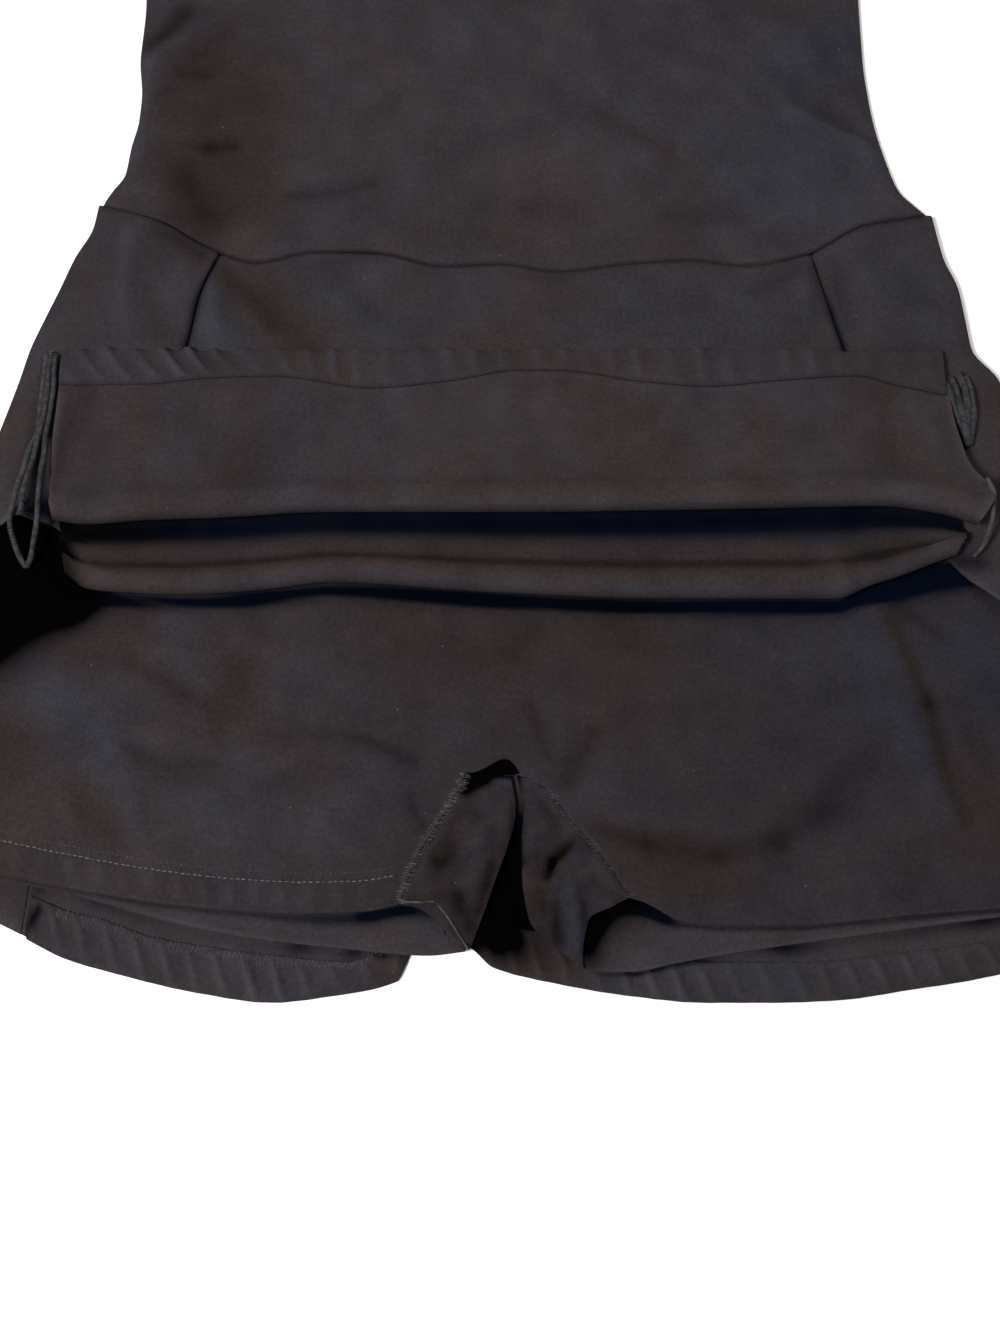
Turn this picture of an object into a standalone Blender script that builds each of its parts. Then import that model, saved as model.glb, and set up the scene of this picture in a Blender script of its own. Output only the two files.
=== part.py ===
# A knit tennis dress with built-in shorts, laid on its back, its front skirt folded up.
# Sizes are in millimetres: x to the right, y up the garment from the middle of the waist seam,
# z up from the surface it lies on. The last step turns them into metres and centres the dress.

import bisect
import math

import bmesh
import bpy
from mathutils import Vector

COLLECTION = "tennis_dress"
MM = 0.001
WALL = 1.2          # thickness of one layer of knit
GAP = 0.3           # between pieces that touch or are sewn together
SEAM_GAP = GAP / 2  # what each side of a seam gives up
SHOULDER_Y = 500.0  # top of the straps above the waist seam
HEM_Y = -359.0      # lowest point of the back hem
BAND_DEPTH = 22.0   # turned hem allowance of the skirt
BODICE_RISE = 3.1   # how far the layers under the waist seam lift the bodice front
BODICE_PUFF = 1.6   # slack of the bodice front over the back
LEG_PUFF = 3.4      # slack of each leg front over the leg back
SHORTS_HEM_LIFT = 2.7  # the leg backs lie over the skirt's turned hem
LIFT_REACH = 30.0   # how far above their hems they stay lifted
LIFT_RAMP = 26.0    # and over what length they come down
LIFT_HALF_WIDTH = 222.0  # the turned hem under them ends here
LIFT_LEAD = 16.0    # the leg fronts start to rise this much sooner
SIDE_HALF_HEIGHT = 2.9  # half the height of the skirt's rounded side fold
SIDE_NOSE = 3.0     # depth of that fold from its outermost line
SHORTS_INSET = 9.0  # from the skirt's side fold to the side of the shorts
UNDER_MID = 5.2     # height of the middle of the front gore's lowest layer

CHARCOAL = (0.042, 0.036, 0.040, 1.0)
CHARCOAL_INSIDE = (0.050, 0.044, 0.047, 1.0)
EDGE_GREY = (0.110, 0.102, 0.104, 1.0)
KNIT_ROUGHNESS = 0.88
SHARP_DEGREES = 40


def table(columns, *rows):
    return [dict(zip(columns.split(), row)) for row in rows]


WAIST_SEAM = table(
    "x y",
    (-200, 34), (-170, 25), (-145, 10), (-120, 1), (-90, 7), (-60, 6), (-28, -1), (0, 0),
    (30, -4), (63, 0), (94, 2), (120, -1), (150, 5), (181, 22), (214, 28),
)
BODICE_SIDE = table(
    "y left right",
    (28, -199.5, 213.5), (35, -198, 207), (44, -194, 200), (55, -188, 196), (70, -186, 192),
    (85, -183, 189), (98, -182.5, 187.5), (121, -184.5, 186), (150, -183.5, 186),
    (200, -188, 190), (250, -198, 199), (298, -212, 212), (312, -198, 198), (332, -177, 177),
    (362, -160, 160), (402, -150, 150), (450, -152, 152), (500, -161, 161),
)
# Heights of the rows of the bodice, closer where its outline turns.
FRONT_LEVELS = (0, 14, 28, 42, 58, 76, 98, 122, 150, 190, 235, 275, 299, 313, 334, 366, 410)
FRONT_STRAP_LEVELS = (432, 455, 478, 500)
BACK_LEVELS = (0, 20, 42, 66, 98, 150, 220, 275, 299, 313, 334, 366, 410, 455)
BACK_STRAP_LEVELS = (472, 486, 500)
FRONT_NECK = table("y half", (410, 62), (432, 77), (455, 87), (478, 92), (500, 95))
BACK_NECK = table("y half", (455, 60), (472, 76), (486, 87), (500, 95))
BACK_BODICE_COLUMNS = 14
FRONT_SCOOP = 26.0
BACK_SCOOP = 16.0
SCOOP_FROM = 240.0         # the rows start to dip towards the neck here
NARROW_FROM = 150.0        # the columns start to gather towards the straps here
LEVEL_FROM = 110.0         # below this the rows follow the waist seam
FRONT_STRAP_COLUMNS = 9
BACK_STRAP_COLUMNS = 3
RISE_FROM, RISE_RAMP = 20.0, 60.0      # where the lift over the waist's layers fades out
LOOSE_FROM, LOOSE_RAMP = 30.0, 60.0    # where the bodice's slack comes in
LOOSE_END, LOOSE_FADE = 330.0, 90.0    # and where it goes again
EDGE_REACH_LOW, EDGE_REACH_HIGH = 7.0, 34.0  # width of the edge that lies on the back

SKIRT_FOLD = table(
    "y left right",
    (-300, -282, 282), (-260, -277, 277), (-200, -266, 268), (-140, -252, 257),
    (-100, -242, 250), (-63, -232, 241), (-46, -228, 229), (-29, -222, 227), (-13, -216, 225),
    (4, -210, 219), (21, -202, 216), (34, -200, 214),
)
GORE_SEAM = table(
    "y left right",
    (-185, -206, 210), (-165, -198, 204), (-135, -186, 195), (-100, -172, 184),
    (-45, -152, 166), (-17, -147, 159), (7, -138, 153),
)
BACK_SEAM = table("y left right", (-347, -211.5, 226), (-200, -200, 214), (34, -176, 190))
BACK_HEM = table(
    "x y",
    (-211, -330), (-190, -340), (-169, -346), (-130, -355), (-99, -359), (-72, -356),
    (-45, -350), (-38, -336.5), (-14, -335), (-2, -344), (21, -350), (56, -356), (90, -359),
    (118, -359), (146, -358), (181, -353), (201, -350), (226, -345),
)
BACK_ROWS = (0.0, 0.25, 0.55, 0.8, 0.93, 1.0)
BACK_TOP_Y = 20.0          # first guess at the back's waist seam
BAND_INSET = 0.006         # share of the hem that the turned band stops short of each side
BAND_CLEAR = 0.6           # from the back's hem to the band's own edge
# Lower edge of each side gore: share of the way from its front seam to the side fold.
SIDE_HEM = table(
    "share left right",
    (0.0, -149, -143), (0.25, -142, -166), (0.5, -136, -182), (0.76, -140, -204),
    (0.88, -190, -240), (1.0, -292, -292),
)
SIDE_TOP_SHARES = (0.0, 0.25, 0.5, 0.76, 0.88, 1.0)
# Rows of the front and side gores from the waist seam down, shared along their seam.
GORE_ROWS = (0.0, 0.05, 0.1, 0.16, 0.23, 0.31, 0.4, 0.5, 0.62, 0.75, 0.88, 1.0)
SIDE_NOSE_ANGLES = (45, 0, -45)
SIDE_UNDER_SHARES = (0.0, 0.25, 0.6, 1.0)

# Lines of the folded front gore, read across it.
LOWER_ROLL = table(
    "x y",
    (-201, -163), (-190, -171), (-172, -173), (-148, -174), (-124, -173), (-104, -171),
    (-78, -168), (0, -173), (78, -176), (155, -176), (170, -170), (185, -165), (205, -157),
    (220, -155),
)
UPPER_ROLL = table(
    "x y",
    (-207, -140), (-192, -142), (-163, -140), (-134, -139), (-79, -136), (0, -136),
    (79, -135), (127, -134), (176, -133), (205, -137), (222, -143),
)
FOLDED_HEM_Y = -49.0
UNDER_END = 14.0           # from the lower roll's line back to where the gore lies flat
# The front gore from there, over both rolls and up to its hem. Each row is a place on the
# middle of the cloth, its y counted from the line named in "line".
FRONT_PATH = table(
    "line along z left right",
    ("lower", 5.0, 5.9, -200, 205), ("lower", 1.2, 7.6, -201, 205),
    ("lower", 0.6, 10.3, -201, 206), ("lower", 3.4, 12.9, -201, 206),
    ("lower", 8.5, 14.2, -202, 207), ("lower", 15.0, 13.3, -203, 209),
    ("lower", 22.0, 13.9, -204, 211), ("lower", 29.0, 12.6, -205, 213),
    ("upper", 3.0, 10.6, -206, 216), ("upper", 15.0, 9.4, -206, 217),
    ("upper", 19.4, 9.6, -206, 217), ("upper", 20.9, 10.7, -206, 217),
    ("upper", 19.2, 11.8, -206, 217), ("upper", 12.0, 12.2, -206, 218),
    ("upper", 5.0, 13.0, -206, 219), ("upper", 1.3, 14.9, -207, 220),
    ("upper", 0.6, 17.4, -207, 221), ("upper", 2.8, 20.0, -207, 222),
    ("upper", 8.0, 21.4, -208, 226), ("upper", 16.0, 19.8, -209, 228),
    ("upper", 28.0, 15.6, -210, 221), ("upper", 42.0, 12.2, -211, 217),
    ("upper", 56.0, 10.2, -211, 215), ("hem", -20.0, 9.0, -211, 214),
    ("hem", -10.0, 8.0, -211, 213), ("hem", 0.0, 7.2, -211, 212),
)
FRONT_ROWS = len(GORE_ROWS) + len(FRONT_PATH)
FRONT_COLUMNS = 20
FRONT_BAND_ROWS = 3        # rows of the path that the turned hem covers
FRONT_RIPPLES = 45
BACK_RIPPLES = 34
RIPPLE_HEIGHT = 0.9
RIPPLE_COLUMNS = 3
RIPPLE_DRIFT = 0.9         # radians by which the ripples' spacing wanders
RIPPLE_DRIFT_WAVES = 3.0
RIPPLE_AT_EDGE = 0.45      # share of a ripple's height that is left at the band's edges

CROTCH_X = 5.0
CROTCH_Y = -258.0
ROLLS_END_Y, ROLLS_RAMP = -186.0, 40.0    # the legs puff up only below the skirt's rolls
LEG_SIDE, LEG_SIDE_RAMP = 12.0, 60.0      # and away from their sides
CROTCH_RAMP = 70.0                        # and from the crotch
SHORTS_DROP = 12.0         # from the waist seam to the top of the shorts' two layers
SHORTS_COLUMNS = 8         # across each leg
SHORTS_BACK_ROWS = (6, 5)  # above and below the crotch
SHORTS_FRONT_ROWS = (9, 7)
BACK_LEG_HEM = {
    "left": table(
        "x y",
        (-262, -293), (-221, -304), (-178, -314), (-141, -325), (-107, -332), (-65, -337),
        (-31, -340), (-14, -338),
    ),
    "right": table(
        "x y",
        (37, -347), (56, -347), (76, -343), (111, -337), (139, -333), (168, -329),
        (196, -325), (219, -322), (262, -312),
    ),
}
FRONT_LEG_HEM = {
    "left": table(
        "x y",
        (-262, -290), (-220, -303), (-177, -312), (-140, -318), (-107, -321), (-86, -322),
        (-58, -321), (-44, -318),
    ),
    "right": table(
        "x y",
        (57, -315), (63, -317), (78, -325), (97, -327), (125, -327), (153, -325),
        (181, -322), (218, -319), (262, -309),
    ),
}
# Inner edges of the legs, by the share of the way from the crotch to the hem.
BACK_INSEAM = table("share left right", (0, 1, 10), (1, -15, 38))
FRONT_INSEAM = table(
    "share left right",
    (0, -15, 9), (0.12, -18, 20), (0.4, -28, 33), (0.7, -38, 46), (1, -44, 57),
)
LEFT_FLAP = table(
    "share x y",
    (0, 5, -261), (0.2, 7, -274), (0.4, 3, -289), (0.6, -1, -304), (0.8, -7, -321),
    (1, -13, -337),
)
RIGHT_FLAP = table(
    "share x y",
    (0, 7.5, -261), (0.2, 12, -274), (0.4, 9, -289), (0.6, 9, -306), (0.8, 21, -324),
    (1, 37, -345),
)
FLAP_COLUMNS = 4
FLAP_PUFF = 0.8
FLAP_PUFF_RAMP = 3         # the puff is whole a third of the way down

LEFT_ALLOWANCE = table(
    "y x z",
    (-162, -217.5, 7.6), (-158, -218.0, 9.0), (-150, -218.6, 12.4), (-142, -219.0, 15.6),
    (-134, -218.8, 17.6), (-126, -218.0, 17.4), (-112, -216.4, 14.0), (-97, -215.2, 11.2),
    (-76, -214.8, 9.0), (-51, -214.8, 7.8),
)
ALLOWANCE_WIDTH = 7.0
ALLOWANCE_WALL = 1.6
ALLOWANCE_CURL = 1.4
ALLOWANCE_COLUMNS = 3
KNOT = table(
    "y x half z",
    (-95, 221.5, 1.2, 6.6), (-90, 221.5, 3.4, 7.0), (-82, 221.0, 5.4, 7.6),
    (-73, 220.8, 6.4, 8.0), (-64, 220.6, 6.4, 8.0), (-57, 220.0, 4.2, 7.6),
)
KNOT_WALL = 2.2
KNOT_CREASES = 2.0
KNOT_COLUMNS = 6

# Soft folds pressed into the shorts' fronts: a ridge from one end to the other.
LEG_FOLDS = table(
    "x1 y1 x2 y2 height width",
    (-168, -213, -150, -224, 0.9, 9), (-178, -247, -136, -256, 1.0, 10),
    (-104, -243, -34, -250, 0.9, 10), (47, -240, 24, -262, 1.1, 9),
    (40, -278, 150, -282, 0.9, 12), (180, -190, 208, -283, 1.6, 14),
)
BODICE_FOLDS = table(
    "x1 y1 x2 y2 height width",
    (14, 122, 92, 42, 1.1, 12), (112, 134, 176, 76, 1.2, 12), (-160, 144, -176, 126, 1.0, 9),
    (-96, 42, -58, 48, 0.7, 9),
)


def read(rows, by, want, at):
    """Value of one column of a table at a place along another, on a smooth curve."""
    keys = [row[by] for row in rows]
    values = [row[want] for row in rows]
    if at <= keys[0]:
        return values[0]
    if at >= keys[-1]:
        return values[-1]
    i = bisect.bisect_right(keys, at) - 1
    rises = [(values[k + 1] - values[k]) / (keys[k + 1] - keys[k]) for k in range(len(keys) - 1)]

    def slope(k):
        if k == 0:
            return rises[0]
        if k == len(rises):
            return rises[-1]
        before, after = rises[k - 1], rises[k]
        return 0.0 if before * after <= 0 else 2 * before * after / (before + after)

    span = keys[i + 1] - keys[i]
    t = (at - keys[i]) / span
    start = (1 + 2 * t) * (1 - t) ** 2 * values[i] + t * (1 - t) ** 2 * span * slope(i)
    end = t * t * (3 - 2 * t) * values[i + 1] + t * t * (t - 1) * span * slope(i + 1)
    return start + end


def mix(a, b, t):
    return a + (b - a) * t


def ease(t):
    t = min(1.0, max(0.0, t))
    return t * t * (3 - 2 * t)


def seam_y(x):
    return read(WAIST_SEAM, "x", "y", x)


def back_seam_y(x):
    """The back's waist seam is an even curve between the same two side corners."""
    corner = WAIST_SEAM[0 if x < 0 else -1]
    return corner["y"] * (x / corner["x"]) ** 2


def ridge(folds, x, y):
    """Height that the soft folds of a table add at a point."""
    total = 0.0
    for fold in folds:
        ax, ay = fold["x1"], fold["y1"]
        run_x, run_y = fold["x2"] - ax, fold["y2"] - ay
        length = math.hypot(run_x, run_y)
        along = ((x - ax) * run_x + (y - ay) * run_y) / length
        aside = ((y - ay) * run_x - (x - ax) * run_y) / length
        past = max(0.0, -along, along - length)
        total += fold["height"] * math.exp(-(aside**2 + past**2) / fold["width"] ** 2)
    return total


def material(name, colour):
    made = bpy.data.materials.new(name)
    made.use_nodes = True
    shader = made.node_tree.nodes["Principled BSDF"]
    shader.inputs["Base Color"].default_value = colour
    shader.inputs["Roughness"].default_value = KNIT_ROUGHNESS
    shader.inputs["Metallic"].default_value = 0.0
    return made


def cloth(name, columns, rows, place, colour, keep=None, wall=None, inward=0.0):
    """One closed wall of cloth from a grid.

    place(i, j) gives the inner face's point. wall(i, j) is the vector to its outer face;
    without it the wall is WALL thick along the normal, and inward is how much of that
    lies on the inner side of the placed points.
    """
    mesh = bmesh.new()
    bmesh.ops.create_grid(mesh, x_segments=columns, y_segments=rows, size=0.5)
    column = mesh.verts.layers.int.new("column")
    row = mesh.verts.layers.int.new("row")
    for vert in mesh.verts:
        vert[column] = round((vert.co.x + 0.5) * columns)
        vert[row] = round((vert.co.y + 0.5) * rows)
    if keep:
        dropped = [
            face for face in mesh.faces
            if not keep(min(v[column] for v in face.verts), min(v[row] for v in face.verts))
        ]
        bmesh.ops.delete(mesh, geom=dropped, context="FACES")
    for vert in mesh.verts:
        vert.co = place(vert[column], vert[row])
    mesh.normal_update()
    normals = {(vert[column], vert[row]): vert.normal.copy() for vert in mesh.verts}
    made = bmesh.ops.extrude_face_region(mesh, geom=mesh.faces[:])["geom"]
    outer = {item for item in made if isinstance(item, bmesh.types.BMVert)}
    for vert in mesh.verts:
        key = (vert[column], vert[row])
        if vert in outer:
            vert.co += wall(*key) if wall else normals[key] * (WALL - inward)
        elif not wall:
            vert.co -= normals[key] * inward
    bmesh.ops.recalc_face_normals(mesh, faces=mesh.faces[:])
    shift = Vector((0.0, -(SHOULDER_Y + HEM_Y) / 2, 0.0))
    for vert in mesh.verts:
        vert.co = (vert.co + shift) * MM
    data = bpy.data.meshes.new(name)
    mesh.to_mesh(data)
    mesh.free()
    made = bpy.data.objects.new(name, data)
    data.materials.append(material(name + "_knit", colour))
    data.shade_smooth()
    data.set_sharp_from_angle(angle=math.radians(SHARP_DEGREES))
    bpy.data.collections[COLLECTION].objects.link(made)
    return made


def straight_up(height):
    return lambda i, j: Vector((0.0, 0.0, height))


# Bodice

def bodice_point(i, j, seam_x, seam, strap_columns, levels, strap_levels, neck, scoop):
    """Plan position of a grid point: the middle columns end at the scoop of the neck."""
    rows = len(levels) - 1
    columns = len(seam_x) - 1
    strap_x = neck[0]["half"]
    share = (seam_x[i] - seam_x[0]) / (seam_x[-1] - seam_x[0])
    side = -1 if i < columns / 2 else 1
    edge = "left" if side < 0 else "right"
    if j == 0:
        return seam_x[i], seam(seam_x[i]) + SEAM_GAP
    if j <= rows:
        level = levels[j]
        edge_level = level + WAIST_SEAM[0]["y"] * (1 - ease(level / LEVEL_FROM))
        left = read(BODICE_SIDE, "y", "left", edge_level)
        right = read(BODICE_SIDE, "y", "right", edge_level)
        top_left = read(BODICE_SIDE, "y", "left", levels[-1])
        narrow = ease((level - NARROW_FROM) / (levels[-1] - NARROW_FROM))
        if i <= strap_columns:
            wanted = mix(top_left, -strap_x, i / strap_columns)
        elif i >= columns - strap_columns:
            wanted = mix(-top_left, strap_x, (columns - i) / strap_columns)
        else:
            middle = columns - 2 * strap_columns
            wanted = mix(-strap_x, strap_x, (i - strap_columns) / middle)
        wanted_share = (wanted - top_left) / (-2 * top_left)
        x = mix(left, right, mix(share, wanted_share, narrow))
        y = level + (seam(x) + SEAM_GAP) * (1 - ease(level / LEVEL_FROM))
        dip = max(0.0, 1 - (x / strap_x) ** 2)
        y -= scoop * dip * ease((level - SCOOP_FROM) / (levels[-1] - SCOOP_FROM))
        return x, y
    level = strap_levels[j - rows - 1]
    inner = side * read(neck, "y", "half", level)
    outer = read(BODICE_SIDE, "y", edge, level)
    step = i if side < 0 else columns - i
    return mix(outer, inner, step / strap_columns), level


def bodice(
    name, seam_x, seam, strap_columns, levels, strap_levels, neck, scoop, height, colour
):
    rows = len(levels) - 1
    columns = len(seam_x) - 1

    def keep(i, j):
        return j < rows or not strap_columns <= i < columns - strap_columns

    def place(i, j):
        x, y = bodice_point(
            i, j, seam_x, seam, strap_columns, levels, strap_levels, neck, scoop
        )
        return Vector((x, y, height(x, y)))

    total = rows + len(strap_levels)
    return cloth(name, columns, total, place, colour, keep, straight_up(WALL))


def bodice_front_height(x, y):
    """Rests on the back along its edges, over the waist's layers below and loose above."""
    edge = min(
        x - read(BODICE_SIDE, "y", "left", y), read(BODICE_SIDE, "y", "right", y) - x
    )
    over_seam = BODICE_RISE * (1 - ease((y - RISE_FROM) / RISE_RAMP))
    loose = BODICE_PUFF * ease((y - LOOSE_FROM) / LOOSE_RAMP)
    loose *= 1 - ease((y - LOOSE_END) / LOOSE_FADE)
    reach = mix(EDGE_REACH_LOW, EDGE_REACH_HIGH, ease(y / LEVEL_FROM))
    folds = ridge(BODICE_FOLDS, x, y)
    return WALL + GAP + (over_seam + loose + folds) * ease(edge / reach)


# Skirt

def back_point(share, t):
    """A point on the plain back gore, its sides at the back seams."""
    hem_x = mix(BACK_HEM[0]["x"], BACK_HEM[-1]["x"], share)
    low = read(BACK_HEM, "x", "y", hem_x)
    y = mix(BACK_TOP_Y, low, t)
    for _ in range(3):
        left = read(BACK_SEAM, "y", "left", y) + SEAM_GAP
        right = read(BACK_SEAM, "y", "right", y) - SEAM_GAP
        x = mix(left, right, share)
        y = mix(back_seam_y(x) - SEAM_GAP, low, t)
    return x, y


def skirt_back():
    first, last = BACK_HEM[0]["x"], BACK_HEM[-1]["x"]
    shares = [(row["x"] - first) / (last - first) for row in BACK_HEM]

    def place(i, j):
        x, y = back_point(shares[i], BACK_ROWS[j])
        return Vector((x, y, 0.0))

    return cloth(
        "skirt_back", len(shares) - 1, len(BACK_ROWS) - 1, place, CHARCOAL_INSIDE,
        wall=straight_up(WALL),
    )


def ripple(share, count, across):
    """Raised puckers of a turned hem, unevenly spaced, highest along its middle."""
    phase = 2 * math.pi * count * share
    phase += RIPPLE_DRIFT * math.sin(2 * math.pi * RIPPLE_DRIFT_WAVES * share)
    crown = mix(RIPPLE_AT_EDGE, 1.0, math.sin(math.pi * across))
    return RIPPLE_HEIGHT * crown * (0.5 + 0.5 * math.cos(phase))


def skirt_back_hem():
    columns = BACK_RIPPLES * RIPPLE_COLUMNS

    def place(i, j):
        share = mix(BAND_INSET, 1 - BAND_INSET, i / columns)
        x, low = back_point(share, 1.0)
        return Vector((x, low + BAND_CLEAR + j * BAND_DEPTH / 2, WALL + GAP))

    def wall(i, j):
        return Vector((0, 0, WALL + ripple(i / columns, BACK_RIPPLES, j / 2)))

    return cloth("skirt_back_hem", columns, 2, place, CHARCOAL_INSIDE, wall=wall)


def side_point(side, part, amount, t):
    """A point on the outside of a side gore's section, t of the way down to its hem."""
    sign = -1 if side == "left" else 1
    corner = SIDE_HEM[-1][side]
    seam = seam_y
    if part == "top":
        low = read(SIDE_HEM, "share", side, amount)
    elif part == "nose":
        low = corner - SIDE_NOSE * (1 - math.sin(amount))
    else:
        low = mix(corner - 2 * SIDE_NOSE, BACK_HEM[0 if sign < 0 else -1]["y"], amount)
        seam = back_seam_y
    y = mix(WAIST_SEAM[0]["y"], low, t)
    for _ in range(4):
        front = read(GORE_SEAM, "y", side, y) + sign * SEAM_GAP
        fold = read(SKIRT_FOLD, "y", side, y) - sign * SIDE_NOSE
        back = read(BACK_SEAM, "y", side, y) + sign * SEAM_GAP
        if part == "top":
            x, z = mix(front, fold, amount), 2 * SIDE_HALF_HEIGHT
        elif part == "nose":
            x = fold + sign * SIDE_NOSE * math.cos(amount)
            z = SIDE_HALF_HEIGHT * (1 + math.sin(amount))
        else:
            x, z = mix(fold, back, amount), 0.0
        y = mix(seam(x) - SEAM_GAP, low, t)
    return Vector((x, y, z))


def skirt_side(side):
    """A side gore: from its front seam, round the side fold and under to the back seam."""
    section = [("top", share) for share in SIDE_TOP_SHARES]
    section += [("nose", math.radians(angle)) for angle in SIDE_NOSE_ANGLES]
    section += [("under", share) for share in SIDE_UNDER_SHARES]
    if side == "left":
        section.reverse()

    def place(i, j):
        return side_point(side, *section[i], GORE_ROWS[-1 - j])

    # The placed points are the outside of the gore, so its whole wall lies inward of them.
    return cloth(
        "skirt_side_" + side, len(section) - 1, len(GORE_ROWS) - 1, place, CHARCOAL,
        inward=WALL,
    )


def front_point(i, j):
    """A point on the middle of the folded front gore's cloth."""
    share = i / FRONT_COLUMNS
    if j < len(GORE_ROWS):
        fold_x = mix(FRONT_PATH[0]["left"], FRONT_PATH[0]["right"], share)
        low = read(LOWER_ROLL, "x", "y", fold_x) + UNDER_END
        y = mix(0.0, low, GORE_ROWS[j])
        for _ in range(4):
            left = read(GORE_SEAM, "y", "left", y) + SEAM_GAP
            right = read(GORE_SEAM, "y", "right", y) - SEAM_GAP
            x = mix(left, right, share)
            y = mix(seam_y(x) - SEAM_GAP, low, GORE_ROWS[j])
        return Vector((x, y, UNDER_MID))
    row = FRONT_PATH[j - len(GORE_ROWS)]
    x = mix(row["left"], row["right"], share)
    if row["line"] == "hem":
        return Vector((x, FOLDED_HEM_Y + row["along"], row["z"]))
    line = LOWER_ROLL if row["line"] == "lower" else UPPER_ROLL
    return Vector((x, read(line, "x", "y", x) + row["along"], row["z"]))


def skirt_front():
    return cloth(
        "skirt_front", FRONT_COLUMNS, FRONT_ROWS - 1, front_point, CHARCOAL_INSIDE,
        inward=WALL / 2,
    )


def skirt_front_hem():
    columns = FRONT_RIPPLES * RIPPLE_COLUMNS
    last = FRONT_ROWS - 1

    def place(i, j):
        share = i / columns * FRONT_COLUMNS
        point = front_point(share, last - j)
        ahead = front_point(share, last - j - 1)
        behind = front_point(share, min(last, last - j + 1))
        along = behind - ahead
        normal = Vector((0, -along.z, along.y)).normalized()
        return point + normal * (WALL / 2 + GAP)

    def wall(i, j):
        height = WALL + ripple(i / columns, FRONT_RIPPLES, j / (FRONT_BAND_ROWS - 1))
        return Vector((0, 0, height))

    return cloth(
        "skirt_front_hem", columns, FRONT_BAND_ROWS - 1, place, CHARCOAL_INSIDE, wall=wall
    )


def seam_allowance_left():
    rows = len(LEFT_ALLOWANCE) - 1

    def place(i, j):
        at = LEFT_ALLOWANCE[j]
        x = at["x"] + (i / ALLOWANCE_COLUMNS - 0.5) * ALLOWANCE_WIDTH
        curl = ALLOWANCE_CURL * abs(i - ALLOWANCE_COLUMNS / 2)
        return Vector((x, at["y"], at["z"] + curl))

    return cloth(
        "seam_allowance_left", ALLOWANCE_COLUMNS, rows, place, EDGE_GREY,
        wall=straight_up(ALLOWANCE_WALL),
    )


def seam_allowance_right():
    rows = len(KNOT) - 1

    def place(i, j):
        at = KNOT[j]
        across = 2 * i / KNOT_COLUMNS - 1
        crease = 0.5 + 0.5 * math.cos(KNOT_CREASES * math.pi * across)
        return Vector((at["x"] + across * at["half"], at["y"], at["z"] + crease))

    return cloth(
        "seam_allowance_right", KNOT_COLUMNS, rows, place, EDGE_GREY, wall=straight_up(KNOT_WALL)
    )


# Shorts

def shorts_side(side, y):
    return read(SKIRT_FOLD, "y", side, y) + (SHORTS_INSET if side == "left" else -SHORTS_INSET)


def leg_of(x):
    return "left" if x < CROTCH_X else "right"


def shorts_back_height(x, y):
    """Lies on the skirt back and climbs onto its turned hem near the legs' own hems."""
    clear = y - read(BACK_LEG_HEM[leg_of(x)], "x", "y", x)
    lift = 1 - ease((clear - LIFT_REACH) / LIFT_RAMP)
    lift *= 1 - ease((abs(x) - LIFT_HALF_WIDTH) / LIFT_RAMP)
    return WALL + GAP + SHORTS_HEM_LIFT * lift


def shorts_front_height(x, y):
    inset = abs(shorts_side(leg_of(x), y) - x)
    below_roll = ease((ROLLS_END_Y - y) / ROLLS_RAMP)
    leg_middle = ease((inset - LEG_SIDE) / LEG_SIDE_RAMP) * ease(abs(x - CROTCH_X) / CROTCH_RAMP)
    puff = (LEG_PUFF * leg_middle + ridge(LEG_FOLDS, x, y)) * below_roll
    return shorts_back_height(x, y - LIFT_LEAD) + WALL + GAP + puff


def shorts(name, rows, hem, inseam, height, colour):
    above, below = rows
    columns = 2 * SHORTS_COLUMNS + 1

    def keep(i, j):
        return i != SHORTS_COLUMNS or j < above

    def place(i, j):
        left_leg = i <= SHORTS_COLUMNS
        side = "left" if left_leg else "right"
        share = i / SHORTS_COLUMNS if left_leg else (columns - i) / SHORTS_COLUMNS
        down = max(0, j - above) / below
        inner = read(inseam, "share", side, down)
        outer_hem = hem[side][0 if left_leg else -1]["x"]
        hem_x = mix(outer_hem, read(inseam, "share", side, 1), share)
        low = read(hem[side], "x", "y", hem_x)
        y = mix(CROTCH_Y, low, down) if j >= above else CROTCH_Y * j / above
        for _ in range(4):
            x = mix(shorts_side(side, y), inner, share)
            if j < above:
                y = mix(back_seam_y(x) - SHORTS_DROP, CROTCH_Y, j / above)
        return Vector((x, y, height(x, y)))

    return cloth(name, columns, above + below, place, colour, keep, straight_up(WALL))


def gusset(name, side, flap):
    """A flap at the crotch, from the front inseam to its own free edge."""
    rows = SHORTS_FRONT_ROWS[1]
    sign = 1 if side == "left" else -1

    def place(i, j):
        down = j / rows
        seam_x = read(FRONT_INSEAM, "share", side, down) + sign * GAP
        seam_low = read(FRONT_LEG_HEM[side], "x", "y", read(FRONT_INSEAM, "share", side, 1))
        seam = Vector((seam_x, mix(CROTCH_Y, seam_low, down), 0))
        free = Vector((read(flap, "share", "x", down), read(flap, "share", "y", down), 0))
        point = seam.lerp(free, i / FLAP_COLUMNS)
        point.z = shorts_back_height(point.x, point.y - LIFT_LEAD) + WALL + GAP
        point.z += FLAP_PUFF * math.sin(math.pi * i / FLAP_COLUMNS) * ease(down * FLAP_PUFF_RAMP)
        return point

    return cloth(name, FLAP_COLUMNS, rows, place, CHARCOAL_INSIDE, wall=straight_up(WALL))


for leftover in list(bpy.data.objects):
    bpy.data.objects.remove(leftover)
bpy.context.scene.collection.children.link(bpy.data.collections.new(COLLECTION))

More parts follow.
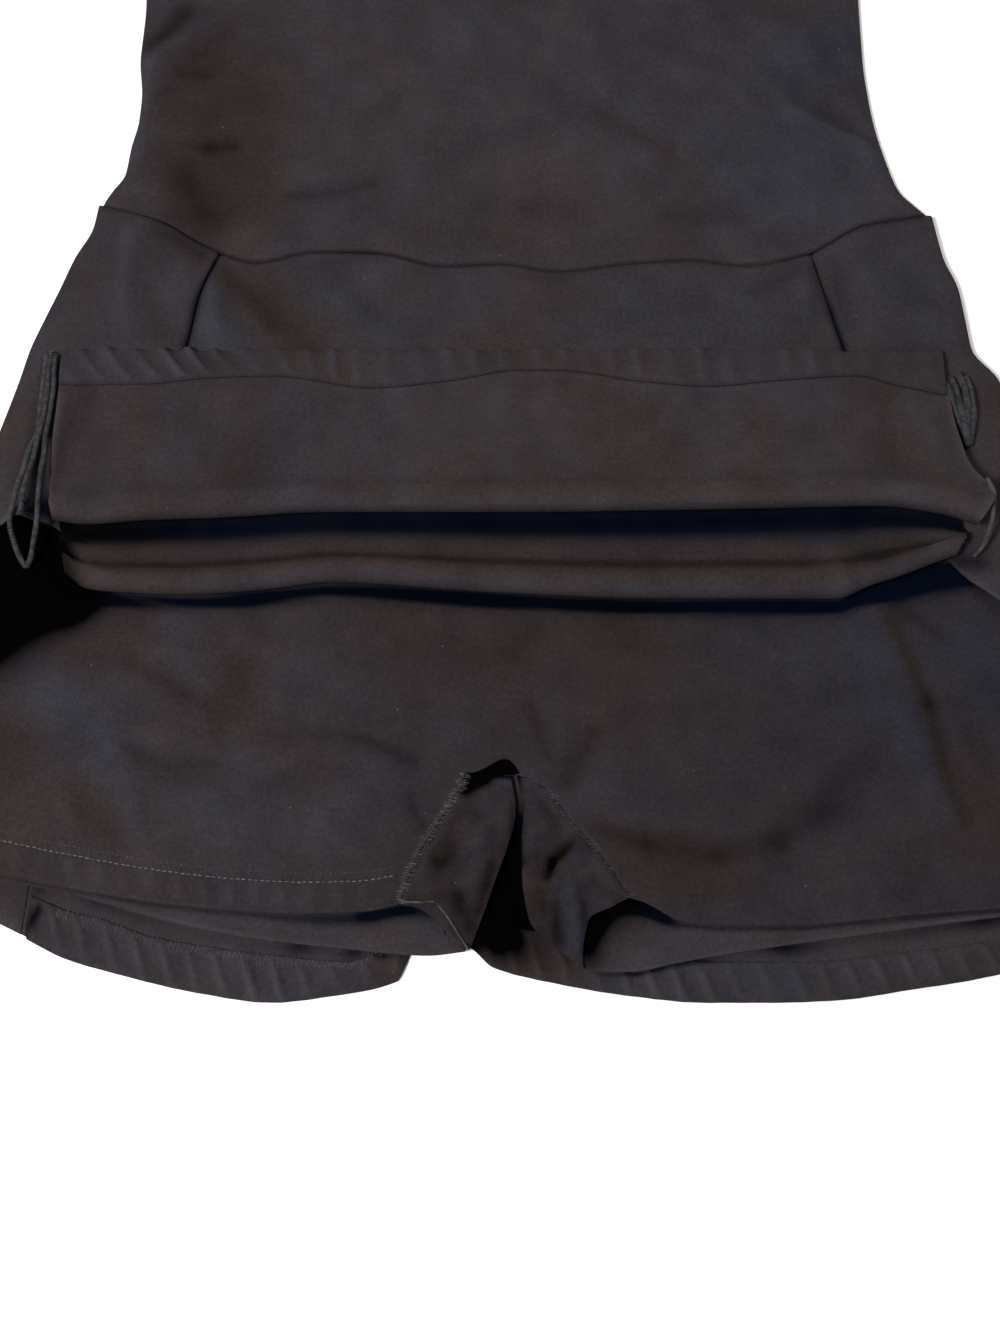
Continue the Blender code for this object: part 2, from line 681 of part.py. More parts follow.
# The bodice front meets the skirt column by column along the waist seam.
left_corner, right_corner = BODICE_SIDE[0]["left"], BODICE_SIDE[0]["right"]
side_shares = SIDE_TOP_SHARES[1:]
front_seam_x = [left_corner]
front_seam_x += [side_point("left", "top", share, 0.0).x for share in reversed(side_shares)]
front_seam_x += [front_point(column, 0).x for column in range(FRONT_COLUMNS + 1)]
front_seam_x += [side_point("right", "top", share, 0.0).x for share in side_shares]
front_seam_x += [right_corner]
back_seam_x = [
    mix(left_corner, right_corner, column / BACK_BODICE_COLUMNS)
    for column in range(BACK_BODICE_COLUMNS + 1)
]
bodice(
    "bodice_front", front_seam_x, seam_y, FRONT_STRAP_COLUMNS, FRONT_LEVELS,
    FRONT_STRAP_LEVELS, FRONT_NECK, FRONT_SCOOP, bodice_front_height, CHARCOAL,
)
bodice(
    "bodice_back", back_seam_x, back_seam_y, BACK_STRAP_COLUMNS, BACK_LEVELS,
    BACK_STRAP_LEVELS, BACK_NECK, BACK_SCOOP, lambda x, y: 0.0, CHARCOAL_INSIDE,
)
skirt_back()
skirt_back_hem()
skirt_side("left")
skirt_side("right")
skirt_front()
skirt_front_hem()
seam_allowance_left()
seam_allowance_right()
shorts(
    "shorts_back", SHORTS_BACK_ROWS, BACK_LEG_HEM, BACK_INSEAM, shorts_back_height,
    CHARCOAL_INSIDE,
)
shorts(
    "shorts_front", SHORTS_FRONT_ROWS, FRONT_LEG_HEM, FRONT_INSEAM, shorts_front_height,
    CHARCOAL,
)
gusset("gusset_left", "left", LEFT_FLAP)
gusset("gusset_right", "right", RIGHT_FLAP)
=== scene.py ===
import math

import bmesh
import bpy
import numpy as np
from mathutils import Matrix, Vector


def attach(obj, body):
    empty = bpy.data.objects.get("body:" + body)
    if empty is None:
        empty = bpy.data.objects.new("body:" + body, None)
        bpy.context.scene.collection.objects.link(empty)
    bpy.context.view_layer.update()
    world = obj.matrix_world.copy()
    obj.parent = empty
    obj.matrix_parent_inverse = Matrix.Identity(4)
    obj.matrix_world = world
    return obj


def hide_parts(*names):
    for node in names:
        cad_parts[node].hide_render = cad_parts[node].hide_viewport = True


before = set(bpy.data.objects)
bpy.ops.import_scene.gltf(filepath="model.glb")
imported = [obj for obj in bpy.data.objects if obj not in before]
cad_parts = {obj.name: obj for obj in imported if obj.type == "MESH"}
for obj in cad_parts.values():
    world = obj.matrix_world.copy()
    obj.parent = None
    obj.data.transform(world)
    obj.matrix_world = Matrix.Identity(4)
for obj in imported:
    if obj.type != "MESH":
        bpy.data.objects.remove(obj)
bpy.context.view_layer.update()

# A knit tennis dress with built-in shorts, laid on its back, its front skirt folded up.
# Sizes are in millimetres: x to the right, y up the garment from the middle of the waist seam,
# z up from the floor. toRow turns them into metres in the frame's own place.
mm = 0.001
rowShift = -70.5
wall = 1.2           # one layer of knit
gap = 0.3            # between layers and across seams
foldDepth = 1.8      # times the heights of the folds listed with each piece
seamGap = gap / 2

collection = bpy.data.collections.new("tennis_dress_looks")
bpy.context.scene.collection.children.link(collection)


def toRow(points):
    points = np.array(points, float)
    points[:, 1] += rowShift
    return points * mm


def mix(a, b, t):
    return a + (b - a) * t


def ease(t):
    t = np.clip(t, 0.0, 1.0)
    return t * t * (3 - 2 * t)


def curveAt(pairs, at):
    # A smooth curve through (place, value) pairs that never overshoots them.
    keys, values = np.array(pairs, float).T
    at = np.clip(at, keys[0], keys[-1])
    i = np.clip(np.searchsorted(keys, at, side="right") - 1, 0, len(keys) - 2)
    step = np.diff(keys)
    rise = np.diff(values) / step
    slope = np.concatenate([rise[:1], np.zeros(len(keys) - 2), rise[-1:]])
    product = rise[:-1] * rise[1:]
    both = product > 0
    slope[1:-1][both] = 2 * product[both] / (rise[:-1] + rise[1:])[both]
    t = (at - keys[i]) / step[i]
    start = (1 + 2 * t) * (1 - t) ** 2 * values[i] + t * (1 - t) ** 2 * step[i] * slope[i]
    end = t * t * (3 - 2 * t) * values[i + 1] + t * t * (t - 1) * step[i] * slope[i + 1]
    return start + end


def bothSides(*rows):
    # Rows of place, left value and right value, as one list of pairs for each side.
    return {"left": [row[:2] for row in rows], "right": [row[::2] for row in rows]}


def softNoise(x, y, size, seed):
    # Smooth unevenness around zero, from seeded waves about this long.
    draw = np.random.default_rng(seed)
    total = np.zeros(np.shape(x))
    for _ in range(9):
        turn, phase = draw.uniform(0, 2 * math.pi, 2)
        length = size * draw.uniform(0.6, 1.7)
        along = x * math.cos(turn) + y * math.sin(turn)
        total += np.sin(along * 2 * math.pi / length + phase)
    return total / 4.5


def foldsAt(folds, x, y):
    # Each fold: x1, y1, x2, y2, sideways bend, height, width, how much wider its far side is.
    total = np.zeros(np.shape(x))
    for x1, y1, x2, y2, bend, height, width, skew in folds:
        runX, runY = x2 - x1, y2 - y1
        length = math.hypot(runX, runY)
        along = ((x - x1) * runX + (y - y1) * runY) / length**2
        inside = np.clip(along, 0, 1)
        aside = ((y - y1) * runX - (x - x1) * runY) / length - bend * 4 * inside * (1 - inside)
        past = (along - inside) * length
        reach = width * np.where(aside > 0, 1.0, skew)
        strength = height * (0.3 + 0.7 * np.sin(np.pi * inside))
        total += strength * np.exp(-((aside / reach) ** 2) - (past / width) ** 2)
    return total * foldDepth


def patchesAt(patches, x, y):
    # Each patch: x1, y1, x2, y2, reach, tone (below 0 painted shade in creases, hollows and under parts;
    # above 0 painted highlight and fading), warmth (where shade is painted, more warmth turns it from navy
    # to black).
    tone, warmth = np.zeros(np.shape(x)), np.zeros(np.shape(x))
    for x1, y1, x2, y2, reach, paler, warmer in patches:
        runX, runY = x2 - x1, y2 - y1
        along = ((x - x1) * runX + (y - y1) * runY) / max(runX**2 + runY**2, 1e-6)
        inside = np.clip(along, 0, 1)
        away = np.hypot(x - x1 - inside * runX, y - y1 - inside * runY)
        near = np.exp(-((away / reach) ** 2))
        tone += paler * near
        warmth += warmer * near
    return tone, warmth


def ripplesAt(x, down, pitch, lean, seed, sharp=1.3):
    # Puckers of a turned hem, uneven in place and height, that lean to the right on the way down.
    phase = 2 * np.pi * (x - lean * down) / pitch + 1.1 * softNoise(x, 0 * x, 70, seed)
    wave = (0.5 + 0.5 * np.cos(phase + 0.5 * np.sin(phase))) ** sharp
    return wave * np.clip(0.75 + 0.45 * softNoise(x, down * 0.5, 34, seed + 1), 0.2, 1.2)


# Materials. The knit's shared effects are node groups; each cloth gives them its own values.

def newGroup(name, inputs, outputs):
    group = bpy.data.node_groups.new(name, "ShaderNodeTree")
    for label, kind, value in inputs:
        socket = group.interface.new_socket(name=label, in_out="INPUT", socket_type=kind)
        if value is not None:
            socket.default_value = value
    for label, kind in outputs:
        group.interface.new_socket(name=label, in_out="OUTPUT", socket_type=kind)
    tree = group.nodes
    return group, tree.new("NodeGroupInput").outputs, tree.new("NodeGroupOutput").inputs


def feed(tree, socket, value):
    # A socket takes another node's output, or else a fixed value.
    if isinstance(value, bpy.types.NodeSocket):
        tree.links.new(value, socket)
    else:
        socket.default_value = value


def math2(tree, operation, *values):
    node = tree.nodes.new("ShaderNodeMath")
    node.operation = operation
    for socket, value in zip(node.inputs, values):
        feed(tree, socket, value)
    return node.outputs[0]


def noiseNode(tree, vector, scale, detail, roughness=0.5):
    node = tree.nodes.new("ShaderNodeTexNoise")
    given = {"Vector": vector, "Scale": scale, "Detail": detail, "Roughness": roughness}
    for label, value in given.items():
        feed(tree, node.inputs[label], value)
    return node.outputs["Fac"]


def knitGroup():
    # Rows of small V stitches and the fuzz over them; the vector is the flat cloth in metres.
    number = "NodeSocketFloat"
    group, given, made = newGroup(
        "knitStitches",
        [("Cloth", "NodeSocketVector", None), ("Wales per Metre", number, 1250.0),
         ("Courses per Metre", number, 1500.0), ("Fuzz", number, 0.5)],
        [("Height", number), ("Grain", number)],
    )
    split = group.nodes.new("ShaderNodeSeparateXYZ")
    group.links.new(given["Cloth"], split.inputs[0])
    across = math2(group, "MULTIPLY", split.outputs[0], given["Wales per Metre"])
    upward = math2(group, "MULTIPLY", split.outputs[1], given["Courses per Metre"])
    offset = math2(group, "SUBTRACT", math2(group, "FRACT", across), 0.5)
    arm = math2(group, "MULTIPLY", math2(group, "ABSOLUTE", offset), 2.0)
    rib = math2(group, "SUBTRACT", 1.0, math2(group, "MULTIPLY", arm, arm))
    climb = math2(group, "ADD", upward, math2(group, "MULTIPLY", arm, 0.5))
    loop = math2(group, "COSINE", math2(group, "MULTIPLY", climb, 2 * math.pi))
    loop = math2(group, "MULTIPLY_ADD", loop, 0.25, 0.25)
    stitch = math2(group, "ADD", math2(group, "MULTIPLY", rib, 0.5), loop)
    fuzz = noiseNode(group, given["Cloth"], 900.0, 3.0, 0.65)
    height = math2(group, "ADD", stitch, math2(group, "MULTIPLY", fuzz, given["Fuzz"]))
    group.links.new(height, made["Height"])
    group.links.new(noiseNode(group, given["Cloth"], 520.0, 4.0, 0.7), made["Grain"])
    return group


def wearGroup():
    # Broad faded blotches, small smudges and pale lint; the vector is the object's own metres.
    number = "NodeSocketFloat"
    group, given, made = newGroup(
        "washedWear",
        [("Place", "NodeSocketVector", None), ("Lint", number, 0.5)],
        [("Blotch", number), ("Smudge", number), ("Lint", number)],
    )
    broad = noiseNode(group, given["Place"], 15.0, 2.0, 0.5)
    mottled = noiseNode(group, given["Place"], 70.0, 3.0, 0.6)
    blotch = math2(group, "MULTIPLY_ADD", mottled, 0.45, math2(group, "MULTIPLY", broad, 0.55))
    group.links.new(blotch, made["Blotch"])
    group.links.new(noiseNode(group, given["Place"], 46.0, 5.0, 0.62), made["Smudge"])
    speck = group.nodes.new("ShaderNodeTexVoronoi")
    speck.inputs["Scale"].default_value = 150.0
    group.links.new(given["Place"], speck.inputs["Vector"])
    size = math2(group, "LESS_THAN", speck.outputs["Distance"], 0.07)
    split = group.nodes.new("ShaderNodeSeparateColor")
    group.links.new(speck.outputs["Color"], split.inputs[0])
    chosen = math2(group, "LESS_THAN", split.outputs[0], math2(group, "MULTIPLY", given["Lint"], 0.2))
    group.links.new(math2(group, "MULTIPLY", size, chosen), made["Lint"])
    return group


knitStitches, washedWear = knitGroup(), wearGroup()


def mixColour(tree, factor, a, b, blend="MIX"):
    node = tree.nodes.new("ShaderNodeMix")
    node.data_type, node.blend_type = "RGBA", blend
    for socket, value in ((node.inputs["Factor"], factor), (node.inputs[6], a), (node.inputs[7], b)):
        feed(tree, socket, value)
    return node.outputs[2]


def spread(tree, value, low, high):
    # The value stretched so that low gives 0 and high gives 1.
    node = tree.nodes.new("ShaderNodeMapRange")
    for label, given in {"Value": value, "From Min": low, "From Max": high}.items():
        feed(tree, node.inputs[label], given)
    return node.outputs["Result"]


def attributeNode(tree, name):
    node = tree.nodes.new("ShaderNodeAttribute")
    node.attribute_name = name
    return node.outputs["Fac"]


def knitMaterial(name, settings):
    made = bpy.data.materials.new(name)
    made.use_nodes = True
    tree = made.node_tree
    shader = tree.nodes["Principled BSDF"]
    clothUv = tree.nodes.new("ShaderNodeUVMap")
    clothUv.uv_map = "cloth"
    place = tree.nodes.new("ShaderNodeTexCoord").outputs["Object"]
    knit = tree.nodes.new("ShaderNodeGroup")
    knit.node_tree = knitStitches
    knit.inputs["Fuzz"].default_value = settings["fuzz"]
    tree.links.new(clothUv.outputs["UV"], knit.inputs["Cloth"])
    worn = tree.nodes.new("ShaderNodeGroup")
    worn.node_tree = washedWear
    worn.inputs["Lint"].default_value = settings["lint"]
    tree.links.new(place, worn.inputs["Place"])
    tone, warmth = attributeNode(tree, "tone"), attributeNode(tree, "warmth")
    blotch = math2(tree, "MULTIPLY_ADD", worn.outputs["Blotch"], 1.9, -0.42)
    warm = math2(tree, "ADD", blotch, warmth)
    colour = mixColour(tree, warm, settings["cool"], settings["warm"])
    smudge = spread(tree, worn.outputs["Smudge"], 0.3, 0.7)
    uneven = mixColour(tree, smudge, settings["smudgeDark"], settings["smudgeLight"])
    colour = mixColour(tree, 1.0, colour, uneven, "MULTIPLY")
    grain = spread(tree, knit.outputs["Grain"], 0.3, 0.7)
    speckled = mixColour(tree, grain, settings["grainDark"], settings["grainLight"])
    colour = mixColour(tree, 1.0, colour, speckled, "MULTIPLY")
    # Tone above 0 turns the cloth pale for fading and painted highlights; tone below 0 turns it to navy
    # painted shade, going near black where warmth is high.
    colour = mixColour(tree, math2(tree, "MAXIMUM", tone, 0.0), colour, settings["paleWearAndHighlight"])
    darker = math2(tree, "MAXIMUM", math2(tree, "MULTIPLY", tone, -1.0), 0.0)
    paintedShade = mixColour(tree, warmth, settings["paintedShade"], settings["paintedShadowBlack"])
    colour = mixColour(tree, darker, colour, paintedShade)
    colour = mixColour(tree, worn.outputs["Lint"], colour, settings["lintColour"])
    tree.links.new(colour, shader.inputs["Base Color"])
    roughness = math2(tree, "MULTIPLY_ADD", grain, -0.08, settings["roughness"])
    tree.links.new(roughness, shader.inputs["Roughness"])
    bump = tree.nodes.new("ShaderNodeBump")
    bump.inputs["Strength"].default_value = settings["bump"]
    bump.inputs["Distance"].default_value = 0.0004
    tree.links.new(knit.outputs["Height"], bump.inputs["Height"])
    tree.links.new(bump.outputs["Normal"], shader.inputs["Normal"])
    shader.inputs["Sheen Weight"].default_value = settings["sheen"]
    shader.inputs["Sheen Roughness"].default_value = 0.5
    shader.inputs["Specular IOR Level"].default_value = settings["gloss"]
    return made


knit = {
    "cool": (0.0260, 0.0249, 0.0318, 1), "warm": (0.0322, 0.0233, 0.0225, 1),
    "smudgeDark": (0.83, 0.83, 0.83, 1), "smudgeLight": (1.18, 1.18, 1.18, 1),
    "grainDark": (0.78, 0.78, 0.78, 1), "grainLight": (1.24, 1.24, 1.24, 1),
    # The pale colour is for fading and painted highlights; the navy and near-black colours after it are
    # painted shade and painted shadow.
    "paleWearAndHighlight": (0.085, 0.079, 0.084, 1), "paintedShade": (0.0009, 0.0020, 0.0060, 1),
    "paintedShadowBlack": (0.0004, 0.0003, 0.0003, 1),
    "lintColour": (0.060, 0.055, 0.055, 1), "fuzz": 0.8, "lint": 0.3,
    "roughness": 0.96, "bump": 0.4, "sheen": 0.006, "gloss": 0.01,
}
rightSide = knitMaterial("knit_outside", knit)
wrongSide = knitMaterial("knit_inside", knit | {"fuzz": 1.1, "bump": 0.5, "sheen": 0.008})


def threadMaterial(name, colour, pale):
    made = bpy.data.materials.new(name)
    made.use_nodes = True
    tree = made.node_tree
    shader = tree.nodes["Principled BSDF"]
    place = tree.nodes.new("ShaderNodeTexCoord").outputs["Object"]
    patchy = spread(tree, noiseNode(tree, place, 420.0, 3.0), 0.35, 0.68)
    tree.links.new(mixColour(tree, patchy, colour, pale), shader.inputs["Base Color"])
    tree.links.new(math2(tree, "MULTIPLY_ADD", patchy, -0.15, 0.85), shader.inputs["Roughness"])
    shader.inputs["Sheen Weight"].default_value = 0.03
    shader.inputs["Specular IOR Level"].default_value = 0.2
    return made


seamThread = threadMaterial("thread_charcoal", (0.018, 0.016, 0.018, 1), (0.048, 0.044, 0.047, 1))
paleThread = threadMaterial("thread_pale", (0.055, 0.051, 0.054, 1), (0.150, 0.142, 0.148, 1))
softEdge = threadMaterial("edge_fluff", (0.026, 0.023, 0.024, 1), (0.062, 0.056, 0.058, 1))
wornThread = threadMaterial("thread_worn", (0.036, 0.033, 0.035, 1), (0.105, 0.098, 0.102, 1))
darkEdge = threadMaterial("edge_shaded", (0.014, 0.013, 0.015, 1), (0.034, 0.032, 0.035, 1))

print("materials made")


# Cloth and thread

def enter(piece, node):
    # Every piece rides on the one body, and may stand for a solid of it.
    collection.objects.link(piece)
    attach(piece, "root")
    if node:
        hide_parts(node)
    print("made:", piece.name, len(piece.data.polygons), "faces")
    return piece


def buildCloth(name, node, look, columns, rows, shape, keep=None, tint=None):
    # shape(u, v) gives the middle of the cloth as x, y, z and its place on the flat cut, s, t.
    grid = bmesh.new()
    bmesh.ops.create_grid(grid, x_segments=columns, y_segments=rows, size=0.5)
    if keep is not None:
        middles = np.array([face.calc_center_median()[:2] for face in grid.faces]) + 0.5
        dropped = [face for face, kept in zip(grid.faces, keep(*middles.T)) if not kept]
        bmesh.ops.delete(grid, geom=dropped, context="FACES")
    data = bpy.data.meshes.new(name)
    grid.to_mesh(data)
    grid.free()
    flat = np.empty(len(data.vertices) * 3)
    data.vertices.foreach_get("co", flat)
    u, v = flat.reshape(-1, 3).T[:2] + 0.5
    x, y, z, s, t = np.broadcast_arrays(*shape(u, v))
    data.vertices.foreach_set("co", toRow(np.stack([x, y, z], axis=1)).ravel())
    corner = np.empty(len(data.loops), np.int32)
    data.loops.foreach_get("vertex_index", corner)
    data.uv_layers.new(name="cloth")
    onCut = np.stack([s, t], axis=1) * mm
    data.uv_layers["cloth"].data.foreach_set("uv", onCut[corner].ravel())
    tints = (0 * u, 0 * u) if tint is None else tint(u, v, x, y)
    worn = 0.03 * softNoise(x, y, 46, 71) + 0.015 * softNoise(x, y, 17, 72)
    tints = (tints[0] + worn, tints[1] - 1.5 * worn)
    for label, values in zip(("tone", "warmth"), tints):
        stored = data.attributes.new(label, "FLOAT", "POINT")
        stored.data.foreach_set("value", np.clip(values, -3, 3) + 0 * u)
    data.materials.append(look)
    data.shade_smooth()
    piece = bpy.data.objects.new(name, data)
    layer = piece.modifiers.new("thickness", "SOLIDIFY")
    layer.thickness, layer.offset = wall * mm, 0.0
    rim = piece.modifiers.new("soft_rim", "BEVEL")
    rim.width, rim.segments, rim.limit_method = 0.4 * mm, 2, "ANGLE"
    rim.angle_limit = math.radians(60)
    return enter(piece, node)


def onCloth(shape, u, v, lift=0.0):
    # Points on the upper side of a cloth, moved out from its middle.
    step = 1e-3
    u, v = np.broadcast_arrays(np.asarray(u, float), np.asarray(v, float))
    here = np.stack(np.broadcast_arrays(*shape(u, v)[:3]))
    across = np.stack(np.broadcast_arrays(*shape(u + step, v)[:3])) - here
    along = np.stack(np.broadcast_arrays(*shape(u, v + step)[:3])) - here
    normal = np.cross(across, along, axis=0)
    normal /= np.linalg.norm(normal, axis=0) * np.where(normal[2] < 0, -1, 1)
    return (here + normal * (wall / 2 + lift)).T


def buildThread(name, look, runs, thick, resolution=1, node=None, uneven=0.0):
    # Every run of points becomes one thread, and all of them one mesh.
    path = bpy.data.curves.new(name + "_path", "CURVE")
    path.dimensions, path.use_fill_caps = "3D", True
    path.bevel_depth, path.bevel_resolution = thick / 2 * mm, resolution
    for run in runs:
        spline = path.splines.new("POLY")
        spline.points.add(len(run) - 1)
        spline.points.foreach_set("co", np.c_[toRow(run), np.ones(len(run))].ravel())
        along = np.arange(len(run)) * 2.0 + 31 * len(path.splines)
        spline.points.foreach_set("radius", 1 + uneven * softNoise(along, 0 * along, 13, 77))
    holder = bpy.data.objects.new(name + "_path", path)
    collection.objects.link(holder)
    graph = bpy.context.evaluated_depsgraph_get()
    data = bpy.data.meshes.new_from_object(holder.evaluated_get(graph))
    bpy.data.objects.remove(holder)
    welded = bmesh.new()
    welded.from_mesh(data)
    bmesh.ops.remove_doubles(welded, verts=welded.verts, dist=1e-6)
    welded.to_mesh(data)
    welded.free()
    data.name = name
    data.materials.clear()
    data.materials.append(look)
    data.shade_smooth()
    return enter(bpy.data.objects.new(name, data), node)


# The garment's outline, shared by its pieces

waistSeam = [
    # x, y
    (-200, 34), (-170, 25), (-145, 10), (-120, 1), (-90, 7), (-60, 6), (-28, -1), (0, 0),
    (30, -4), (63, 0), (94, 2), (120, -1), (150, 5), (181, 22), (214, 28),
]
# from here on: y, left x, right x
bodiceSide = bothSides(
    (28, -199.5, 213.5), (35, -198, 207), (44, -194, 200), (55, -188, 196), (70, -186, 192),
    (85, -183, 189), (98, -182.5, 187.5), (121, -184.5, 186), (150, -183.5, 186),
    (200, -188, 190), (250, -198, 199), (298, -212, 212), (312, -198, 198), (332, -177, 177),
    (362, -160, 160), (402, -150, 150), (450, -152, 152), (500, -161, 161),
)
skirtFold = bothSides(
    (-300, -282, 282), (-260, -277, 277), (-200, -266, 268), (-140, -252, 257),
    (-100, -242, 250), (-63, -232, 241), (-46, -228, 229), (-29, -222, 227), (-13, -216, 225),
    (4, -210, 219), (21, -202, 216), (34, -200, 214),
)
goreSeam = bothSides(
    (-185, -206, 210), (-165, -198, 204), (-135, -186, 195), (-100, -172, 184),
    (-45, -152, 166), (-17, -147, 159), (7, -138, 153),
)
backSeam = bothSides((-347, -211.5, 226), (-200, -200, 214), (34, -176, 190))
backHem = [
    # x, y
    (-211, -330), (-190, -340), (-169, -346), (-130, -355), (-99, -359), (-72, -356),
    (-45, -350), (-38, -336.5), (-14, -335), (-2, -344), (21, -350), (56, -356), (90, -359),
    (118, -359), (146, -358), (181, -353), (201, -350), (226, -345),
]


def seamY(x):
    return curveAt(waistSeam, x)


def backSeamY(x):
    left, right = waistSeam[0], waistSeam[-1]
    return np.where(x < 0, left[1] * (x / left[0]) ** 2, right[1] * (x / right[0]) ** 2)


def sewnIn(distance, reach=0.9):
    # How strongly a point this far from a seam is drawn down into it.
    return np.exp(-((distance / reach) ** 2))


# Bodice

bodiceFront = {
    "columns": 176, "rows": 206, "panelRows": 170, "strapColumns": 50, "panelTop": 410,
    "scoop": 26, "neck": [(410, 62), (432, 77), (455, 87), (478, 92), (500, 95)],
    "folds": [
        (-158, 150, -180, 127, 2, -2.4, 5, 1.8), (-147, 139, -182, 117, -2, 2.2, 6, 1.5),
        (-166, 113, -146, 108, 1, -1.7, 4, 2.0), (-176, 108, -180, 70, 0, 1.2, 7, 1.4),
        (-151, 66, -123, 74, -1, -1.7, 4, 2.2), (-158, 62, -134, 25, 3, -2.0, 6, 2.0),
        (-172, 60, -176, 36, 1, 1.2, 7, 1.3), (-108, 40, -61, 46, 1.5, -1.7, 3, 2.6),
        (-100, 48, -66, 53, 1, 0.8, 7, 1.3), (-188, 39, -146, 15, -1, -1.5, 6, 1.6),
        (-131, 28, -123, 13, 1, 1.0, 3, 1.4), (-113, 28, -123, 12, -1, 0.9, 3, 1.4),
        (-139, 32, -128, 15, 0, -0.8, 3, 1.3), (10, 121, 84, 66, 3, -1.7, 5, 2.4),
        (84, 66, 104, 38, -3, -1.5, 6, 2.0), (24, 126, 96, 76, 3, 1.1, 10, 1.6),
        (86, 30, 117, 28, 1, -1.2, 6, 1.6), (-2, 32, 30, 34, 1, -0.9, 6, 1.6),
        (130, 135, 163, 91, 2, -1.8, 5, 2.0), (151, 100, 178, 77, 1, -2.6, 4, 2.2),
        (163, 90, 188, 71, 0, -1.7, 4, 1.6), (150, 91, 194, 60, 1, 2.0, 5, 1.6),
        (162, 134, 185, 100, 1, -1.9, 4.5, 1.8), (172, 138, 190, 112, 0, 1.3, 6, 1.5),
        (176, 58, 200, 42, 1, -0.9, 6, 1.6), (-40, 70, 40, 84, 6, 0.7, 16, 1.4),
        (-60, 118, 10, 100, 5, 0.7, 18, 1.3), (116, 112, 128, 54, 4, 0.8, 12, 1.5),
        (-182, 190, -120, 236, 6, 1.8, 9, 1.7), (-176, 172, -130, 204, 4, -1.7, 7, 1.6),
        (184, 200, 130, 248, -6, 1.7, 9, 1.7), (178, 180, 136, 216, -4, -1.6, 7, 1.6),
        (-204, 286, -138, 262, 5, 2.2, 9, 1.8), (-198, 270, -140, 246, 4, -1.5, 7, 1.5),
        (202, 286, 142, 264, -5, 2.1, 9, 1.8), (196, 268, 146, 246, -4, -1.4, 7, 1.5),
        (-60, 300, 58, 288, 8, 1.2, 14, 1.5), (-40, 344, 48, 338, 10, -1.1, 9, 1.8),
        (-132, 352, -108, 300, 4, 1.4, 8, 1.6), (134, 348, 112, 298, -4, 1.3, 8, 1.6),
        (-20, 210, 60, 232, 8, 0.8, 16, 1.5), (-90, 168, -30, 196, 6, -0.8, 12, 1.5),
    ],
    # Patches: painted shade along the creases and above the waist seam, painted highlights on the ridges
    # beside them, and brown blotches.
    "patches": [
        (-150, 108, -146, 30, 22, -0.3, 0.9), (-124, 96, -124, 40, 17, -0.15, 0.8),
        (-163, 148, -178, 128, 6, -0.55, 0.7), (-157, 122, -141, 134, 6, -0.24, 0.3),
        (-147, 68, -134, 69, 3.6, -0.3, 0.4), (-160, 69, -146, 68, 3.4, -0.14, 0.4),
        (-157, 56, -158, 44, 7, -0.16, 0.3), (-154, 50, -146, 34, 8, -0.14, 0.3),
        (-162, 30, -142, 24, 7, -0.2, 0.3), (-164, 112, -151, 111, 3.4, -0.26, 0.3),
        (-181, 116, -185, 62, 6, 0.16, -0.4), (-158, 140, -180, 120, 4.5, 0.12, -0.4),
        (-171, 100, -166, 101, 3, -0.16, 0.3), (-128, 30, -122, 8, 8, 0.05, 0.3),
        (-104, 39, -64, 46, 3.8, -0.34, 0.1), (-190, 40, -148, 14, 5, -0.1, 0.1),
        (-124, 20, -116, 24, 6, 0.06, 0.1), (46, 92, 84, 66, 3.5, -0.12, 0.4),
        (84, 66, 104, 38, 6, -0.12, 0.4), (86, 30, 117, 28, 7, -0.22, 0.25),
        (-4, 33, 32, 33, 7, -0.12, 0.1), (-60, 14, 70, 10, 10, -0.06, 0.15),
        (150, 100, 178, 78, 4, -0.2, 0.0), (163, 90, 188, 71, 4, -0.14, 0.1),
        (162, 132, 183, 103, 6, -0.16, -0.1), (150, 91, 192, 62, 6, 0.05, -0.3),
        (120, 60, 170, 40, 40, 0.04, -0.6), (150, 120, 180, 130, 20, -0.02, -0.55),
        (-40, 120, 60, 120, 60, 0.02, -0.15), (-80, 60, 20, 60, 30, 0.0, 0.1),
    ],
}
bodiceBack = {
    "columns": 70, "rows": 100, "panelRows": 91, "strapColumns": 15, "panelTop": 455,
    "scoop": 16, "neck": [(455, 60), (472, 76), (486, 87), (500, 95)],
}


def bodicePlan(u, v, panel, seam):
    # Rows follow the waist seam below and dip towards the neck above; the straps go on from them.
    top, strapX = panel["panelTop"], panel["neck"][0][1]
    strap = panel["strapColumns"] / panel["columns"]
    split = panel["panelRows"] / panel["rows"]
    onPanel = v < split + 1e-4
    level = np.where(onPanel, top * v / split, mix(top, 500, (v - split) / (1 - split)))
    low = 1 - ease(level / 110)
    left = curveAt(bodiceSide["left"], level + waistSeam[0][1] * low)
    right = curveAt(bodiceSide["right"], level + waistSeam[-1][1] * low)
    topLeft = curveAt(bodiceSide["left"], top)
    wanted = np.select(
        [u <= strap, u >= 1 - strap],
        [mix(topLeft, -strapX, u / strap), mix(-topLeft, strapX, (1 - u) / strap)],
        mix(-strapX, strapX, (u - strap) / (1 - 2 * strap)),
    )
    wantedShare = (wanted - topLeft) / (-2 * topLeft)
    x = mix(left, right, mix(u, wantedShare, ease((level - 150) / (top - 150))))
    y = level + (seam(x) + seamGap) * low
    dip = np.maximum(0, 1 - (x / strapX) ** 2)
    y = y - panel["scoop"] * dip * ease((level - 240) / (top - 240))
    inner = curveAt(panel["neck"], level)
    strapLine = np.where(
        u < 0.5, mix(left, -inner, u / strap), mix(right, inner, (1 - u) / strap)
    )
    return np.where(onPanel, x, strapLine), np.where(onPanel, y, level)


